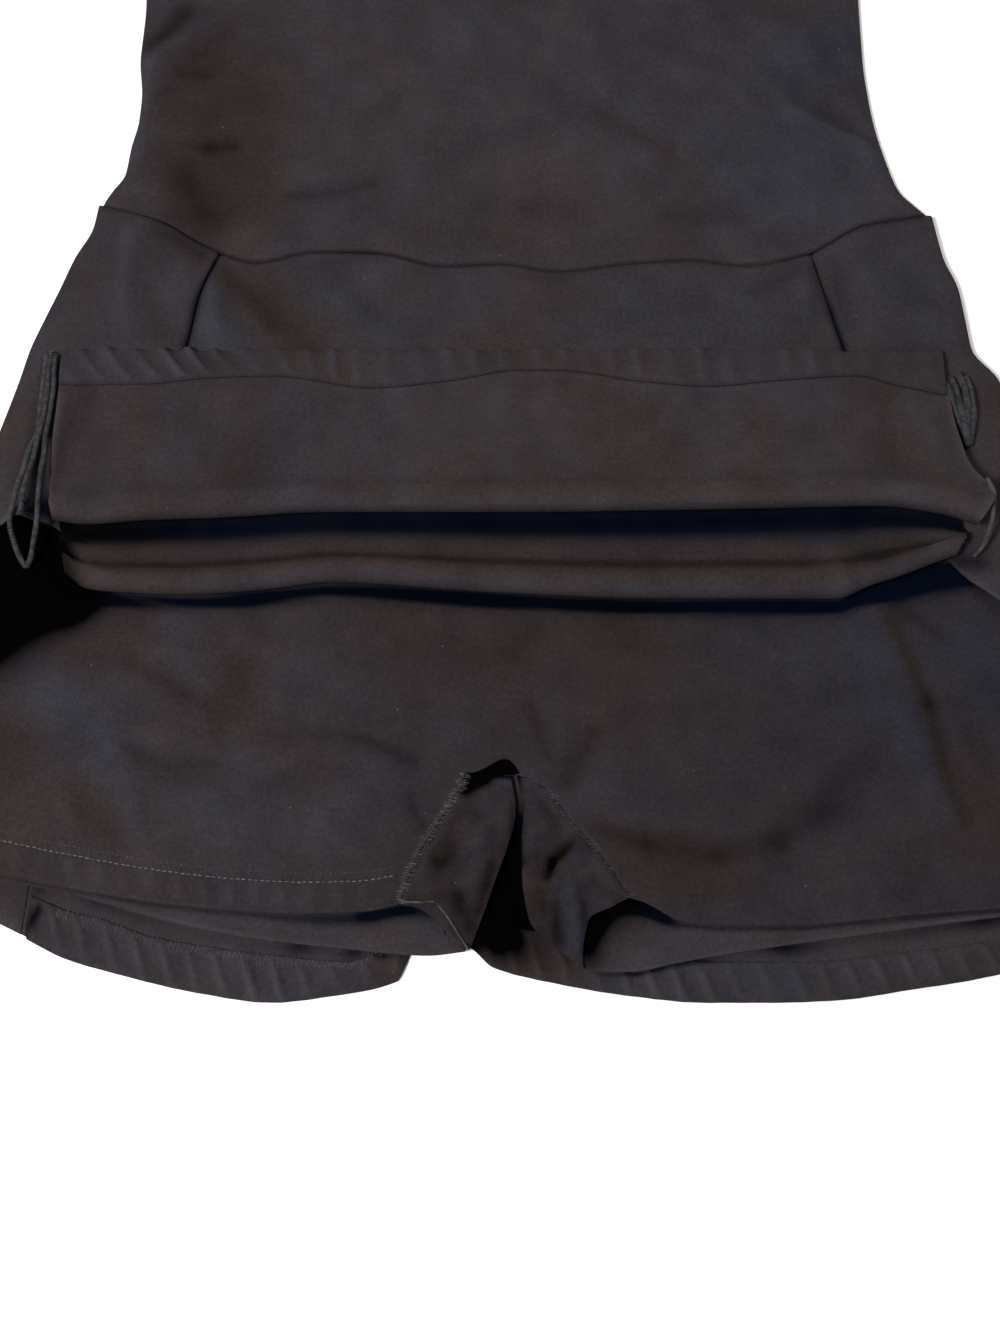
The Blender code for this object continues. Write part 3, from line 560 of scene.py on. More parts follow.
def bodiceFrontShape(u, v):
    x, y = bodicePlan(u, v, bodiceFront, seamY)
    edge = np.minimum(x - curveAt(bodiceSide["left"], y), curveAt(bodiceSide["right"], y) - x)
    overSeam = 3.1 * (1 - ease((y - 20) / 60))
    loose = 2.7 * ease((y - 30) / 60) * (1 - ease((y - 330) / 90))
    soft = foldsAt(bodiceFront["folds"], x, y) + 0.45 * softNoise(x, y, 40, 3)
    soft += 0.6 * softNoise(x, y * 0.6, 110, 4)
    lift = (overSeam + loose + soft) * ease(edge / mix(5, 10, ease(y / 110)))
    drawn = 0.8 * sewnIn(y - seamY(x), 1.8) * (v < 0.3)
    return x, y, wall * 1.5 + gap + np.maximum(lift, 0) - drawn, x, y


def bodiceBackShape(u, v):
    x, y = bodicePlan(u, v, bodiceBack, backSeamY)
    return x, y, np.full_like(x, wall / 2), x, y


def keepBodice(panel):
    strap = panel["strapColumns"] / panel["columns"]
    split = panel["panelRows"] / panel["rows"]
    return lambda u, v: (v < split) | (u < strap) | (u > 1 - strap)


def bodiceTint(u, v, x, y):
    tone, warmth = patchesAt(bodiceFront["patches"], x, y)
    # Painted shade in the waist seam's ditch; its warmth turns the shade near black.
    seam = sewnIn(y - seamY(x), 0.9) * (v < 0.3)
    return tone - 0.65 * seam, warmth + seam


bodiceFrontPiece = buildCloth(
    "bodice_front_cloth", "bodice_front", rightSide, bodiceFront["columns"],
    bodiceFront["rows"], bodiceFrontShape, keepBodice(bodiceFront), bodiceTint,
)
bodiceBackPiece = buildCloth(
    "bodice_back_cloth", "bodice_back", wrongSide, bodiceBack["columns"],
    bodiceBack["rows"], bodiceBackShape, keepBodice(bodiceBack),
)


# Skirt sides: each runs from its front seam, round the side fold and under to the back seam

skirtSide = {
    "columns": 80, "rows": 110, "topShare": 0.6, "noseShare": 0.78, "halfHeight": 2.9, "nose": 3.0,
    "shownAbove": -52, "shownBeyond": 216,    # what the folded-up front leaves in view
    "hem": bothSides(
        (0, -149, -143), (0.25, -142, -166), (0.5, -136, -182), (0.76, -140, -204),
        (0.88, -190, -240), (1, -292, -292),
    ),
    "foldsLeft": [
        (-184, 20, -185, -26, 1, 1.6, 6, 1.5), (-172, 14, -168, -42, 2, -1.0, 7, 1.6),
        (-190, -6, -180, -42, 3, 0.9, 6, 1.6), (-208, 0, -220, -44, -2, -0.8, 7, 1.6),
        (-214, -22, -224, -70, -3, 1.3, 7, 1.6), (-224, -84, -232, -120, 2, 1.8, 7, 1.5),
        (-232, -137, -216, -134, 0, 4.5, 6, 1.5), (-250, -60, -244, -110, 2, 1.2, 8, 1.5),
    ],
    "foldsRight": [
        (167, 8, 172, -36, 1, -1.6, 5, 1.8), (180, 14, 184, -38, 1, 1.0, 7, 1.6),
        (194, -10, 208, -44, 3, 1.0, 8, 1.5), (206, 14, 214, -30, 2, -0.9, 6, 1.6),
        (226, -160, 250, -190, 2, 1.8, 8, 1.6), (240, -70, 250, -130, 3, 1.6, 9, 1.6),
        (232, -64, 238, -110, 2, -1.2, 7, 1.6),
    ],
    # Patches: painted shadow in the hollow by the left end of the rolls and under their right end, painted
    # shade under the waist seam and along creases, paler ridges and brown blotches.
    "patchesLeft": [
        (-184, 16, -184, -24, 5, 0.10, -0.2), (-172, 10, -168, -40, 6, -0.12, 0.2),
        (-232, -60, -236, -120, 12, 0.0, 0.25), (-236, -139, -226, -137, 3, 0.2, -0.2),
        (-214, -130, -200, -132, 8, -1.1, 0.0), (-206, -118, -200, -124, 5, -0.5, 0.0),
        (-200, -10, -210, -40, 10, 0.02, 0.2), (-170, 20, -148, 5, 5.5, -0.42, 0.6),
    ],
    "patchesRight": [
        (165, 0, 170, -34, 4, -0.2, -0.2), (186, 10, 200, -40, 22, -0.05, -0.4),
        (240, -70, 246, -120, 12, -0.1, 0.6), (220, -174, 232, -182, 8, 0.12, -0.6),
        (204, -154, 222, -158, 5, -0.7, 0.0),
    ],
}


def sideShape(side):
    sign = -1 if side == "left" else 1
    half, nose = skirtSide["halfHeight"], skirtSide["nose"]
    top, end = skirtSide["topShare"], skirtSide["noseShare"]
    hem, folds = skirtSide["hem"][side], skirtSide["folds" + side.title()]
    corner, backEnd = hem[-1][1], backHem[0 if side == "left" else -1][1]

    def shape(a, v):
        a = 1 - a if side == "left" else a
        onTop, onNose = a <= top, (a > top) & (a <= end)
        share = np.clip(a / top, 0, 1)
        angle = math.pi / 2 - math.pi * np.clip((a - top) / (end - top), 0, 1)
        under = np.clip((a - end) / (1 - end), 0, 1)
        low = np.select(
            [onTop, onNose],
            [curveAt(hem, share), corner - nose * (1 - np.sin(angle))],
            mix(corner - 2 * nose, backEnd, under),
        )
        y = mix(waistSeam[0][1], low, v)
        for _ in range(4):
            front = curveAt(goreSeam[side], y) + sign * seamGap
            edge = curveAt(skirtFold[side], y) - sign * nose
            back = curveAt(backSeam[side], y) + sign * seamGap
            x = np.select(
                [onTop, onNose],
                [mix(front, edge, share), edge + sign * (nose - wall / 2) * np.cos(angle)],
                mix(edge, back, under),
            )
            y = mix(np.where(onTop | onNose, seamY(x), backSeamY(x)) - seamGap, low, v)
        z = half + (half - wall / 2) * np.where(onTop, 1.0, np.sin(angle))
        z = np.where(onTop | onNose, z, wall / 2)
        above, beyond = y - skirtSide["shownAbove"], np.abs(x) - skirtSide["shownBeyond"]
        shown = onTop * np.maximum(ease(above / 8), ease(beyond / 8))
        loose = np.maximum(1.5 + foldsAt(folds, x, y) + 0.35 * softNoise(x, y, 36, 8), -0.2)
        z = z + loose * shown * ease((1 - share) / 0.1) * ease((seamY(x) - y) / 9)
        frontGap = np.abs(x - curveAt(goreSeam[side], y))
        z = z - 0.9 * onTop * sewnIn(frontGap, 2.2) - 0.5 * onTop * sewnIn((seamY(x) - y), 1.4)
        return x, y, z, x, y

    return shape


def sideTint(side):
    def tint(a, v, x, y):
        a = 1 - a if side == "left" else a
        tone, warmth = patchesAt(skirtSide["patches" + side.title()], x, y)
        apart = x - curveAt(goreSeam[side], y)
        onTop = a <= skirtSide["topShare"]
        # Painted shade along the gore seam and under the waist seam; a paler line along the lower edge.
        strong = 0.9 if side == "left" else mix(0.9, 0.3, ease((y + 26) / 14))
        tone = tone - strong * onTop * sewnIn(apart, mix(1.2, 2.0, ease(-y / 24)))
        tone = tone - 0.5 * onTop * sewnIn(v, 0.008)
        return tone + 0.12 * sewnIn(1 - v, 0.012), warmth

    return tint


sidePieces = [
    buildCloth(
        "skirt_side_%s_cloth" % side, "skirt_side_" + side, rightSide,
        skirtSide["columns"], skirtSide["rows"], sideShape(side), tint=sideTint(side),
    )
    for side in ("left", "right")
]


# Skirt front: one gore folded up over two rolls, with its turned hem

skirtFront = {
    "columns": 206, "rows": 176, "hemColumns": 440, "hemRows": 18, "pitch": 13.6,
    "underMiddle": 5.2, "underEnd": 14.0, "foldedHem": -49.0, "hemRound": 0.95, "lean": 0.7,
    "left": -211, "right": 213, "hemTurn": 0.14, "hemCut": 24.0,
    "underWidth": 300, "underLength": 400, "topWidth": 430,    # about, to place what lies at edges
    "lowerRoll": [
        (-201, -163), (-190, -171), (-172, -173), (-148, -174), (-124, -173), (-104, -171),
        (-78, -168), (0, -173), (78, -176), (155, -176), (170, -170), (185, -165), (205, -157),
        (222, -152),
    ],
    "upperRoll": [
        (-207, -140), (-192, -142), (-163, -140), (-134, -139), (-79, -136), (0, -136),
        (79, -135), (127, -134), (176, -133), (205, -137), (222, -143),
    ],
    # line, along it in mm (between the rolls: the share of the way), height, left end,
    # right end, tone (painted shade in the valley and under the rolls, faint painted highlight on their
    # crests)
    "path": [
        ("lower", 5.0, 5.9, -200, 206, -1.0), ("lower", 1.2, 7.4, -201, 208, -0.85),
        ("lower", 0.3, 9.9, -201, 211, -0.05), ("lower", 2.6, 12.3, -201, 213, 0.05),
        ("lower", 7.0, 13.7, -202, 214, 0.0), ("between", 0.30, 13.2, -202, 215, -0.24),
        ("between", 0.37, 12.3, -203, 215, -0.8), ("between", 0.45, 13.2, -203, 216, -0.28),
        ("between", 0.56, 13.4, -204, 216, -0.28), ("between", 0.67, 11.9, -204, 217, -0.5),
        ("between", 0.78, 9.5, -205, 217, -0.95), ("between", 0.90, 7.8, -205, 217, -1.0),
        ("upper", 1.5, 7.3, -206, 216, -0.95), ("upper", 11.0, 7.4, -206, 217, -0.95),
        ("upper", 18.2, 8.0, -206, 217, -0.9), ("upper", 19.9, 9.2, -206, 217, -0.9),
        ("upper", 18.4, 10.5, -206, 218, -0.9), ("upper", 12.0, 11.3, -206, 218, -0.9),
        ("upper", 5.0, 12.4, -206, 219, -0.9), ("upper", 1.3, 14.6, -207, 220, -0.7),
        ("upper", 0.4, 17.3, -207, 221, -0.2), ("upper", 2.2, 19.9, -207, 222, 0.05),
        ("upper", 6.0, 21.3, -208, 225, 0.04), ("upper", 10.5, 21.2, -208, 228, 0.02),
        ("upper", 14.0, 19.9, -209, 228, -0.07), ("upper", 20.0, 18.3, -209, 226, 0.0),
        ("upper", 30.0, 15.4, -210, 220, 0.0), ("upper", 43.0, 12.4, -211, 217, 0.0),
        ("upper", 57.0, 10.4, -211, 215, 0.0), ("hem", -20.0, 9.1, -211, 214, 0.0),
        ("hem", -10.0, 8.0, -211, 213, 0.0), ("hem", -1.4, 7.25, -211, 212, 0.0),
    ],
    "underRows": (0.0, 0.05, 0.1, 0.16, 0.23, 0.31, 0.4, 0.5, 0.62, 0.75, 0.88, 1.0),
    "overlock": [
        (-211, -67), (-196, -67), (-169, -67), (-139, -63), (-108, -62), (-93, -64),
        (-62, -69), (-24, -65), (10, -59), (29, -59), (67, -65), (101, -68), (142, -64),
        (172, -62), (192, -68), (212, -73),
    ],
    "rippleHeight": [
        (-211, 0.8), (-196, 1.8), (-160, 2.9), (-128, 2.4), (-80, 1.4), (60, 1.3), (120, 1.0),
        (214, 0.8),
    ],
    "underFolds": [
        (-141, -8, -136, -46, 1, 1.4, 6, 1.4), (-136, -3, -106, -48, 4, -1.5, 5, 2.4),
        (-99, -8, -50, -50, 3, 1.4, 8, 1.5), (-84, -10, -40, -44, 3, -0.8, 9, 1.6),
        (-122, -12, -98, -38, 2, -0.7, 5, 1.5), (148, 2, 148, -40, 0, 1.6, 5, 1.5),
        (122, -17, 146, -4, 1, -1.6, 5, 1.7), (24, -24, 48, -46, 2, -0.9, 7, 1.6),
        (-20, -10, 30, -22, 2, 0.6, 10, 1.4), (70, -10, 110, -40, 4, 0.7, 12, 1.5),
    ],
    "topFolds": [
        (-196, -72, -210, -120, 0, -2.0, 7, 1.7), (-209, -72, -212, -116, 0, 1.3, 4, 1.3),
        (-160, -68, -157, -122, 2, 1.1, 11, 1.5), (-138, -66, -142, -118, 2, -0.9, 9, 1.5),
        (-117, -68, -117, -120, -2, -0.8, 9, 1.6), (183, -66, 184, -122, 2, -1.3, 8, 1.7),
        (197, -82, 206, -122, 2, 1.5, 8, 1.4), (67, -76, 70, -118, -3, -0.7, 12, 1.5),
        (-40, -72, -30, -118, 3, 0.7, 16, 1.4), (120, -70, 128, -118, 2, 0.6, 14, 1.4),
    ],
    "rollFolds": [
        (150, -152, 160, -174, 1, 1.8, 5, 1.5), (166, -150, 186, -160, 1, -1.6, 6, 1.5),
        (-196, -150, -188, -168, 1, 1.2, 6, 1.5),
    ],
    # Patches: painted shade along seams and creases, painted shadow at the left end of the rolls, painted
    # highlights on ridges, and warm and cool blotches.
    "underPatches": [
        (-144, -10, -140, -46, 5.5, 0.13, -0.8), (-132, -38, -130, -50, 6, 0.1, -0.7),
        (-137, -2, -110, -34, 6, -0.3, 0.8), (-116, -14, -96, -46, 11, -0.24, 0.9),
        (-90, -16, -44, -44, 7, 0.04, -0.5), (-60, -58, 0, -46, 14, -0.02, 0.4),
        (124, -15, 144, -5, 5, -0.24, 0.1), (148, 2, 148, -38, 4, 0.05, -0.3),
        (20, -20, 60, -44, 16, -0.05, 0.25), (70, -20, 120, -30, 30, 0.0, -0.35),
    ],
    "topPatches": [
        (-198, -74, -208, -118, 6, -0.16, 0.25), (-210, -74, -211, -112, 3, 0.16, -0.2),
        (-158, -72, -157, -116, 12, 0.05, -0.25), (-118, -72, -117, -112, 12, -0.08, 0.5),
        (48, -70, 72, -116, 20, -0.04, 0.55), (184, -68, 184, -112, 7, -0.2, 0.55),
        (200, -84, 210, -118, 9, 0.04, -0.5), (-40, -80, -20, -110, 24, 0.0, 0.2),
        (110, -90, 150, -100, 24, 0.0, 0.1), (-80, -127, 160, -124, 4, -0.06, 0.3),
    ],
    "rollPatches": [
        (-214, -150, -206, -176, 9, -1.3, 0.0), (-200, -150, -196, -174, 5, -0.5, 0.3),
        (-190, -152, -184, -168, 7, 0.08, 0.55),
        (150, -150, 158, -172, 6, 0.12, -0.5), (168, -152, 196, -162, 9, -0.06, 0.0),
    ],
}


def frontRow(u, k):
    # One row of the gore's own net: its plain under layer first, then the folded path.
    given = skirtFront
    path, under = given["path"], given["underRows"]
    if k < len(under):
        foldX = mix(path[0][3], path[0][4], u)
        low = curveAt(given["lowerRoll"], foldX) + given["underEnd"]
        y = mix(0.0, low, under[k])
        for _ in range(4):
            left, right = curveAt(goreSeam["left"], y), curveAt(goreSeam["right"], y)
            x = mix(left + seamGap, right - seamGap, u)
            y = mix(seamY(x) - seamGap, low, under[k])
        return x, y, np.full_like(x, given["underMiddle"])
    line, along, height, left, right = path[k - len(under)][:5]
    x = mix(left, right, u)
    lower, upper = curveAt(given["lowerRoll"], x), curveAt(given["upperRoll"], x)
    y = {
        "lower": lower + along, "upper": upper + along, "between": mix(lower, upper, along),
        "hem": np.full_like(x, given["foldedHem"] + along),
    }[line]
    return x, y, np.full_like(x, height)


underCount = len(skirtFront["underRows"])
frontNetRows = underCount + len(skirtFront["path"])
noseRow = underCount + [row[2] > 17 for row in skirtFront["path"]].index(True)
middleLine = np.array([
    [float(value[0]) for value in frontRow(np.array([0.5]), k)] for k in range(frontNetRows)
])
clothSteps = np.linalg.norm(np.diff(middleLine, axis=0), axis=1)
clothLength = np.concatenate([[0], np.cumsum(clothSteps)])
frontKeys = np.concatenate([[0], np.cumsum(np.maximum(clothSteps, 3.2))])
frontKeys /= frontKeys[-1]
# The path's painted shade, none on the under layer.
frontShadeAlongPath = [0.0] * underCount + [row[5] for row in skirtFront["path"]]


def frontBare(u, v):
    # The folded gore without its creases, smooth between the rows of its net.
    net = np.array([frontRow(u, k) for k in range(frontNetRows)])
    v = np.clip(v, 0, 1)
    i = np.clip(np.searchsorted(frontKeys, v, side="right") - 1, 0, frontNetRows - 2)
    step = np.diff(frontKeys)
    rise = np.diff(net, axis=0) / step[:, None, None]
    slope = np.concatenate([rise[:1], rise[:-1], rise[-1:]])
    weight = (step[:-1] / (step[:-1] + step[1:]))[:, None, None]
    slope[1:-1] = mix(rise[:-1], rise[1:], weight)
    at = np.arange(len(v))
    t = (v - frontKeys[i]) / step[i]
    a, b = net[i, :, at].T, net[i + 1, :, at].T
    slopeA, slopeB = slope[i, :, at].T * step[i], slope[i + 1, :, at].T * step[i]
    point = (1 + 2 * t) * (1 - t) ** 2 * a + t * (1 - t) ** 2 * slopeA
    point = point + t * t * (3 - 2 * t) * b + t * t * (t - 1) * slopeB
    return point, np.interp(v, frontKeys, clothLength)


def frontZones(v):
    # Which stretch of the gore a point is on: its under layer, its rolls or its folded layer.
    under = v < frontKeys[underCount - 3]
    onTop = v > frontKeys[noseRow + 1]
    rolls = (v > frontKeys[underCount]) & ~onTop
    return under, rolls, onTop


def skirtFrontShape(u, v):
    u, v = np.broadcast_arrays(np.asarray(u, float), np.asarray(v, float))
    size = u.shape
    u, v = u.ravel(), v.ravel()
    point, length = frontBare(u, v)
    ahead = frontBare(u, v + 1e-3)[0] - frontBare(u, v - 1e-3)[0]
    reach = np.hypot(ahead[1], ahead[2]) + 1e-9
    out = np.array([np.zeros_like(u), -ahead[2] / reach, ahead[1] / reach])
    x, y, z = point
    under, rolls, onTop = frontZones(v)
    inset = np.minimum(u, 1 - u)
    loose = foldsAt(skirtFront["underFolds"], x, y) + 0.35 * softNoise(x, y, 30, 11)
    onUnder = np.maximum(1.5 + loose, -0.2) * ease((y + 54) / 6)
    onUnder = onUnder * ease((seamY(x) - y) / 9) * ease(inset * 50)
    onUnder = onUnder - 0.9 * sewnIn(inset * skirtFront["underWidth"], 1.6)
    onUnder = onUnder - 0.5 * sewnIn(v * skirtFront["underLength"], 1.6)
    slack = ease((v - frontKeys[noseRow + 1]) / 0.03)
    settled = foldsAt(skirtFront["topFolds"], x, y) + 0.5 * softNoise(x, length, 46, 12)
    settled = settled * slack
    rolled = foldsAt(skirtFront["rollFolds"], x, y) + 0.5 * softNoise(x * 0.35, length, 40, 14)
    middle = ease((v - frontKeys[underCount + 1]) / 0.02) * (v < frontKeys[underCount + 9])
    crease = np.where(under, -onUnder, 0) + np.where(onTop, settled, 0)
    crease = crease + np.where(rolls, rolled * middle, 0)
    edge = inset * skirtFront["topWidth"]
    crease = crease + np.where(onTop, 0.8 * np.exp(-((edge / 2.6) ** 2)), 0)
    x, y, z = point + out * crease
    return x.reshape(size), y.reshape(size), z.reshape(size), x.reshape(size), length.reshape(size)


def frontTint(u, v, x, y):
    under, rolls, onTop = frontZones(v)
    # The path's painted shade in the valley and under the rolls.
    tone = np.interp(v, frontKeys, frontShadeAlongPath)
    warmth = 0 * tone
    for zone, patches in ((under, "underPatches"), (rolls, "rollPatches"), (onTop, "topPatches")):
        paler, warmer = patchesAt(skirtFront[patches], x, y)
        tone, warmth = tone + zone * paler, warmth + zone * warmer
    inset = np.minimum(u, 1 - u)
    # Painted shade in the ditches of the gore and waist seams on the under layer, weaker at the top right.
    seam = sewnIn(inset * skirtFront["underWidth"], 1.5)
    seam = seam + 0.6 * sewnIn(v * skirtFront["underLength"], 0.9)
    edge = inset * skirtFront["topWidth"]
    tone = tone - 0.9 * under * seam * mix(1.0, 0.4, ease(x / 50) * ease((y + 26) / 14))
    # Painted highlight along the folded layer's raised side edges.
    tone = tone + onTop * 0.2 * np.exp(-((edge / 2.0) ** 2))
    streaks = softNoise(x, y * 0.25, 36, 55)
    tone = tone + onTop * (0.02 + 0.04 * streaks - 0.1 * (1 - ease((x + 150) / 90)))
    warmth = warmth + 0.45 * onTop * (1 - ease((x + 170) / 60))
    # Extra warmth in the roll's channel and at its left end turns the painted shade there from navy
    # towards black, and browns the cloth.
    channel = rolls & (v < frontKeys[underCount + 8]) & (v > frontKeys[underCount + 4])
    warmth = warmth + 0.9 * channel + 0.7 * rolls * (1 - ease((x + 195) / 80))
    return tone, warmth + 0.3 * onTop * softNoise(x, y * 0.3, 52, 56) - 0.15 * onTop * streaks


frontPiece = buildCloth(
    "skirt_front_cloth", "skirt_front", wrongSide, skirtFront["columns"],
    skirtFront["rows"], skirtFrontShape, tint=frontTint,
)


def frontTopAt(x, y):
    # The height of the folded layer near its hem, at this place.
    places = [-79.0] + [skirtFront["foldedHem"] + row[1] for row in skirtFront["path"][-3:]]
    v = np.interp(y, places, frontKeys[-4:])
    across = (x - skirtFront["left"]) / (skirtFront["right"] - skirtFront["left"])
    return skirtFrontShape(np.clip(across, 0, 1), v)[2]


def hemLean(x):
    # The puckers lean at the left end, and hardly at all elsewhere.
    return skirtFront["lean"] * (1 - ease((x + 150) / 90)) + 0.08


def frontHemShape(u, w):
    # From below the fold, w = 0, round it and down the wrong side to the overlocked edge.
    u, w = np.broadcast_arrays(np.asarray(u, float), np.asarray(w, float))
    x = mix(skirtFront["left"], skirtFront["right"], u)
    turn, hemY, r = (skirtFront[name] for name in ("hemTurn", "foldedHem", "hemRound"))
    down = np.clip((w - turn) / (1 - turn), 0, 1)
    depth = hemY - curveAt(skirtFront["overlock"], x)
    ripple = ripplesAt(x, down * depth, skirtFront["pitch"], hemLean(x), 51, 0.8)
    ripple = ripple * curveAt(skirtFront["rippleHeight"], x) * ease(w / turn)
    ripple = ripple * (1 - ease((down - 0.62) / 0.38))
    angle = np.radians(mix(-95, 90, np.clip(w / turn, 0, 1)))
    wander = 0.9 * softNoise(x, 0 * x, 44, 53) + 0.7 * (ripple - 0.5)
    y = hemY - 0.4 + r * np.cos(angle) - down * depth + wander * (1 - down)
    base = frontTopAt(x, np.minimum(y, hemY - 1.4))
    z = base + 0.35 + r * np.sin(angle) + ripple - 0.5 * ease((down - 0.85) / 0.15)
    return x, y, z, x, w * skirtFront["hemCut"]


def frontHemTint(u, w, x, y):
    # Painted light on the puckers: their lit sides paler and cooler, the others darker and, where red is
    # high, warmer; painted shade at the fold's nose and in the groove along the overlocked edge.
    down = (w - skirtFront["hemTurn"]) * 20
    lit = ripplesAt(x, down, skirtFront["pitch"], hemLean(x), 51, 0.8)
    strong = curveAt([(-211, 0.2), (-165, 1.0), (-125, 0.9), (-90, 0.4), (214, 0.3)], x)
    tone = 0.34 * (lit - 0.36) * strong * (1 - ease((w - 0.8) / 0.2))
    tone = tone - 0.04 * (1 - ease((w - 0.06) / 0.1))
    red = np.exp(-(((x + 82) / 30) ** 2)) + np.exp(-(((x - 35) / 45) ** 2))
    return tone - 0.3 * sewnIn(w - 1, 0.06), 0.55 * red * (1 - lit) - 0.35 * lit * strong


frontHemPiece = buildCloth(
    "skirt_front_hem_cloth", "skirt_front_hem", wrongSide,
    skirtFront["hemColumns"], skirtFront["hemRows"], frontHemShape, tint=frontHemTint,
)


# Shorts

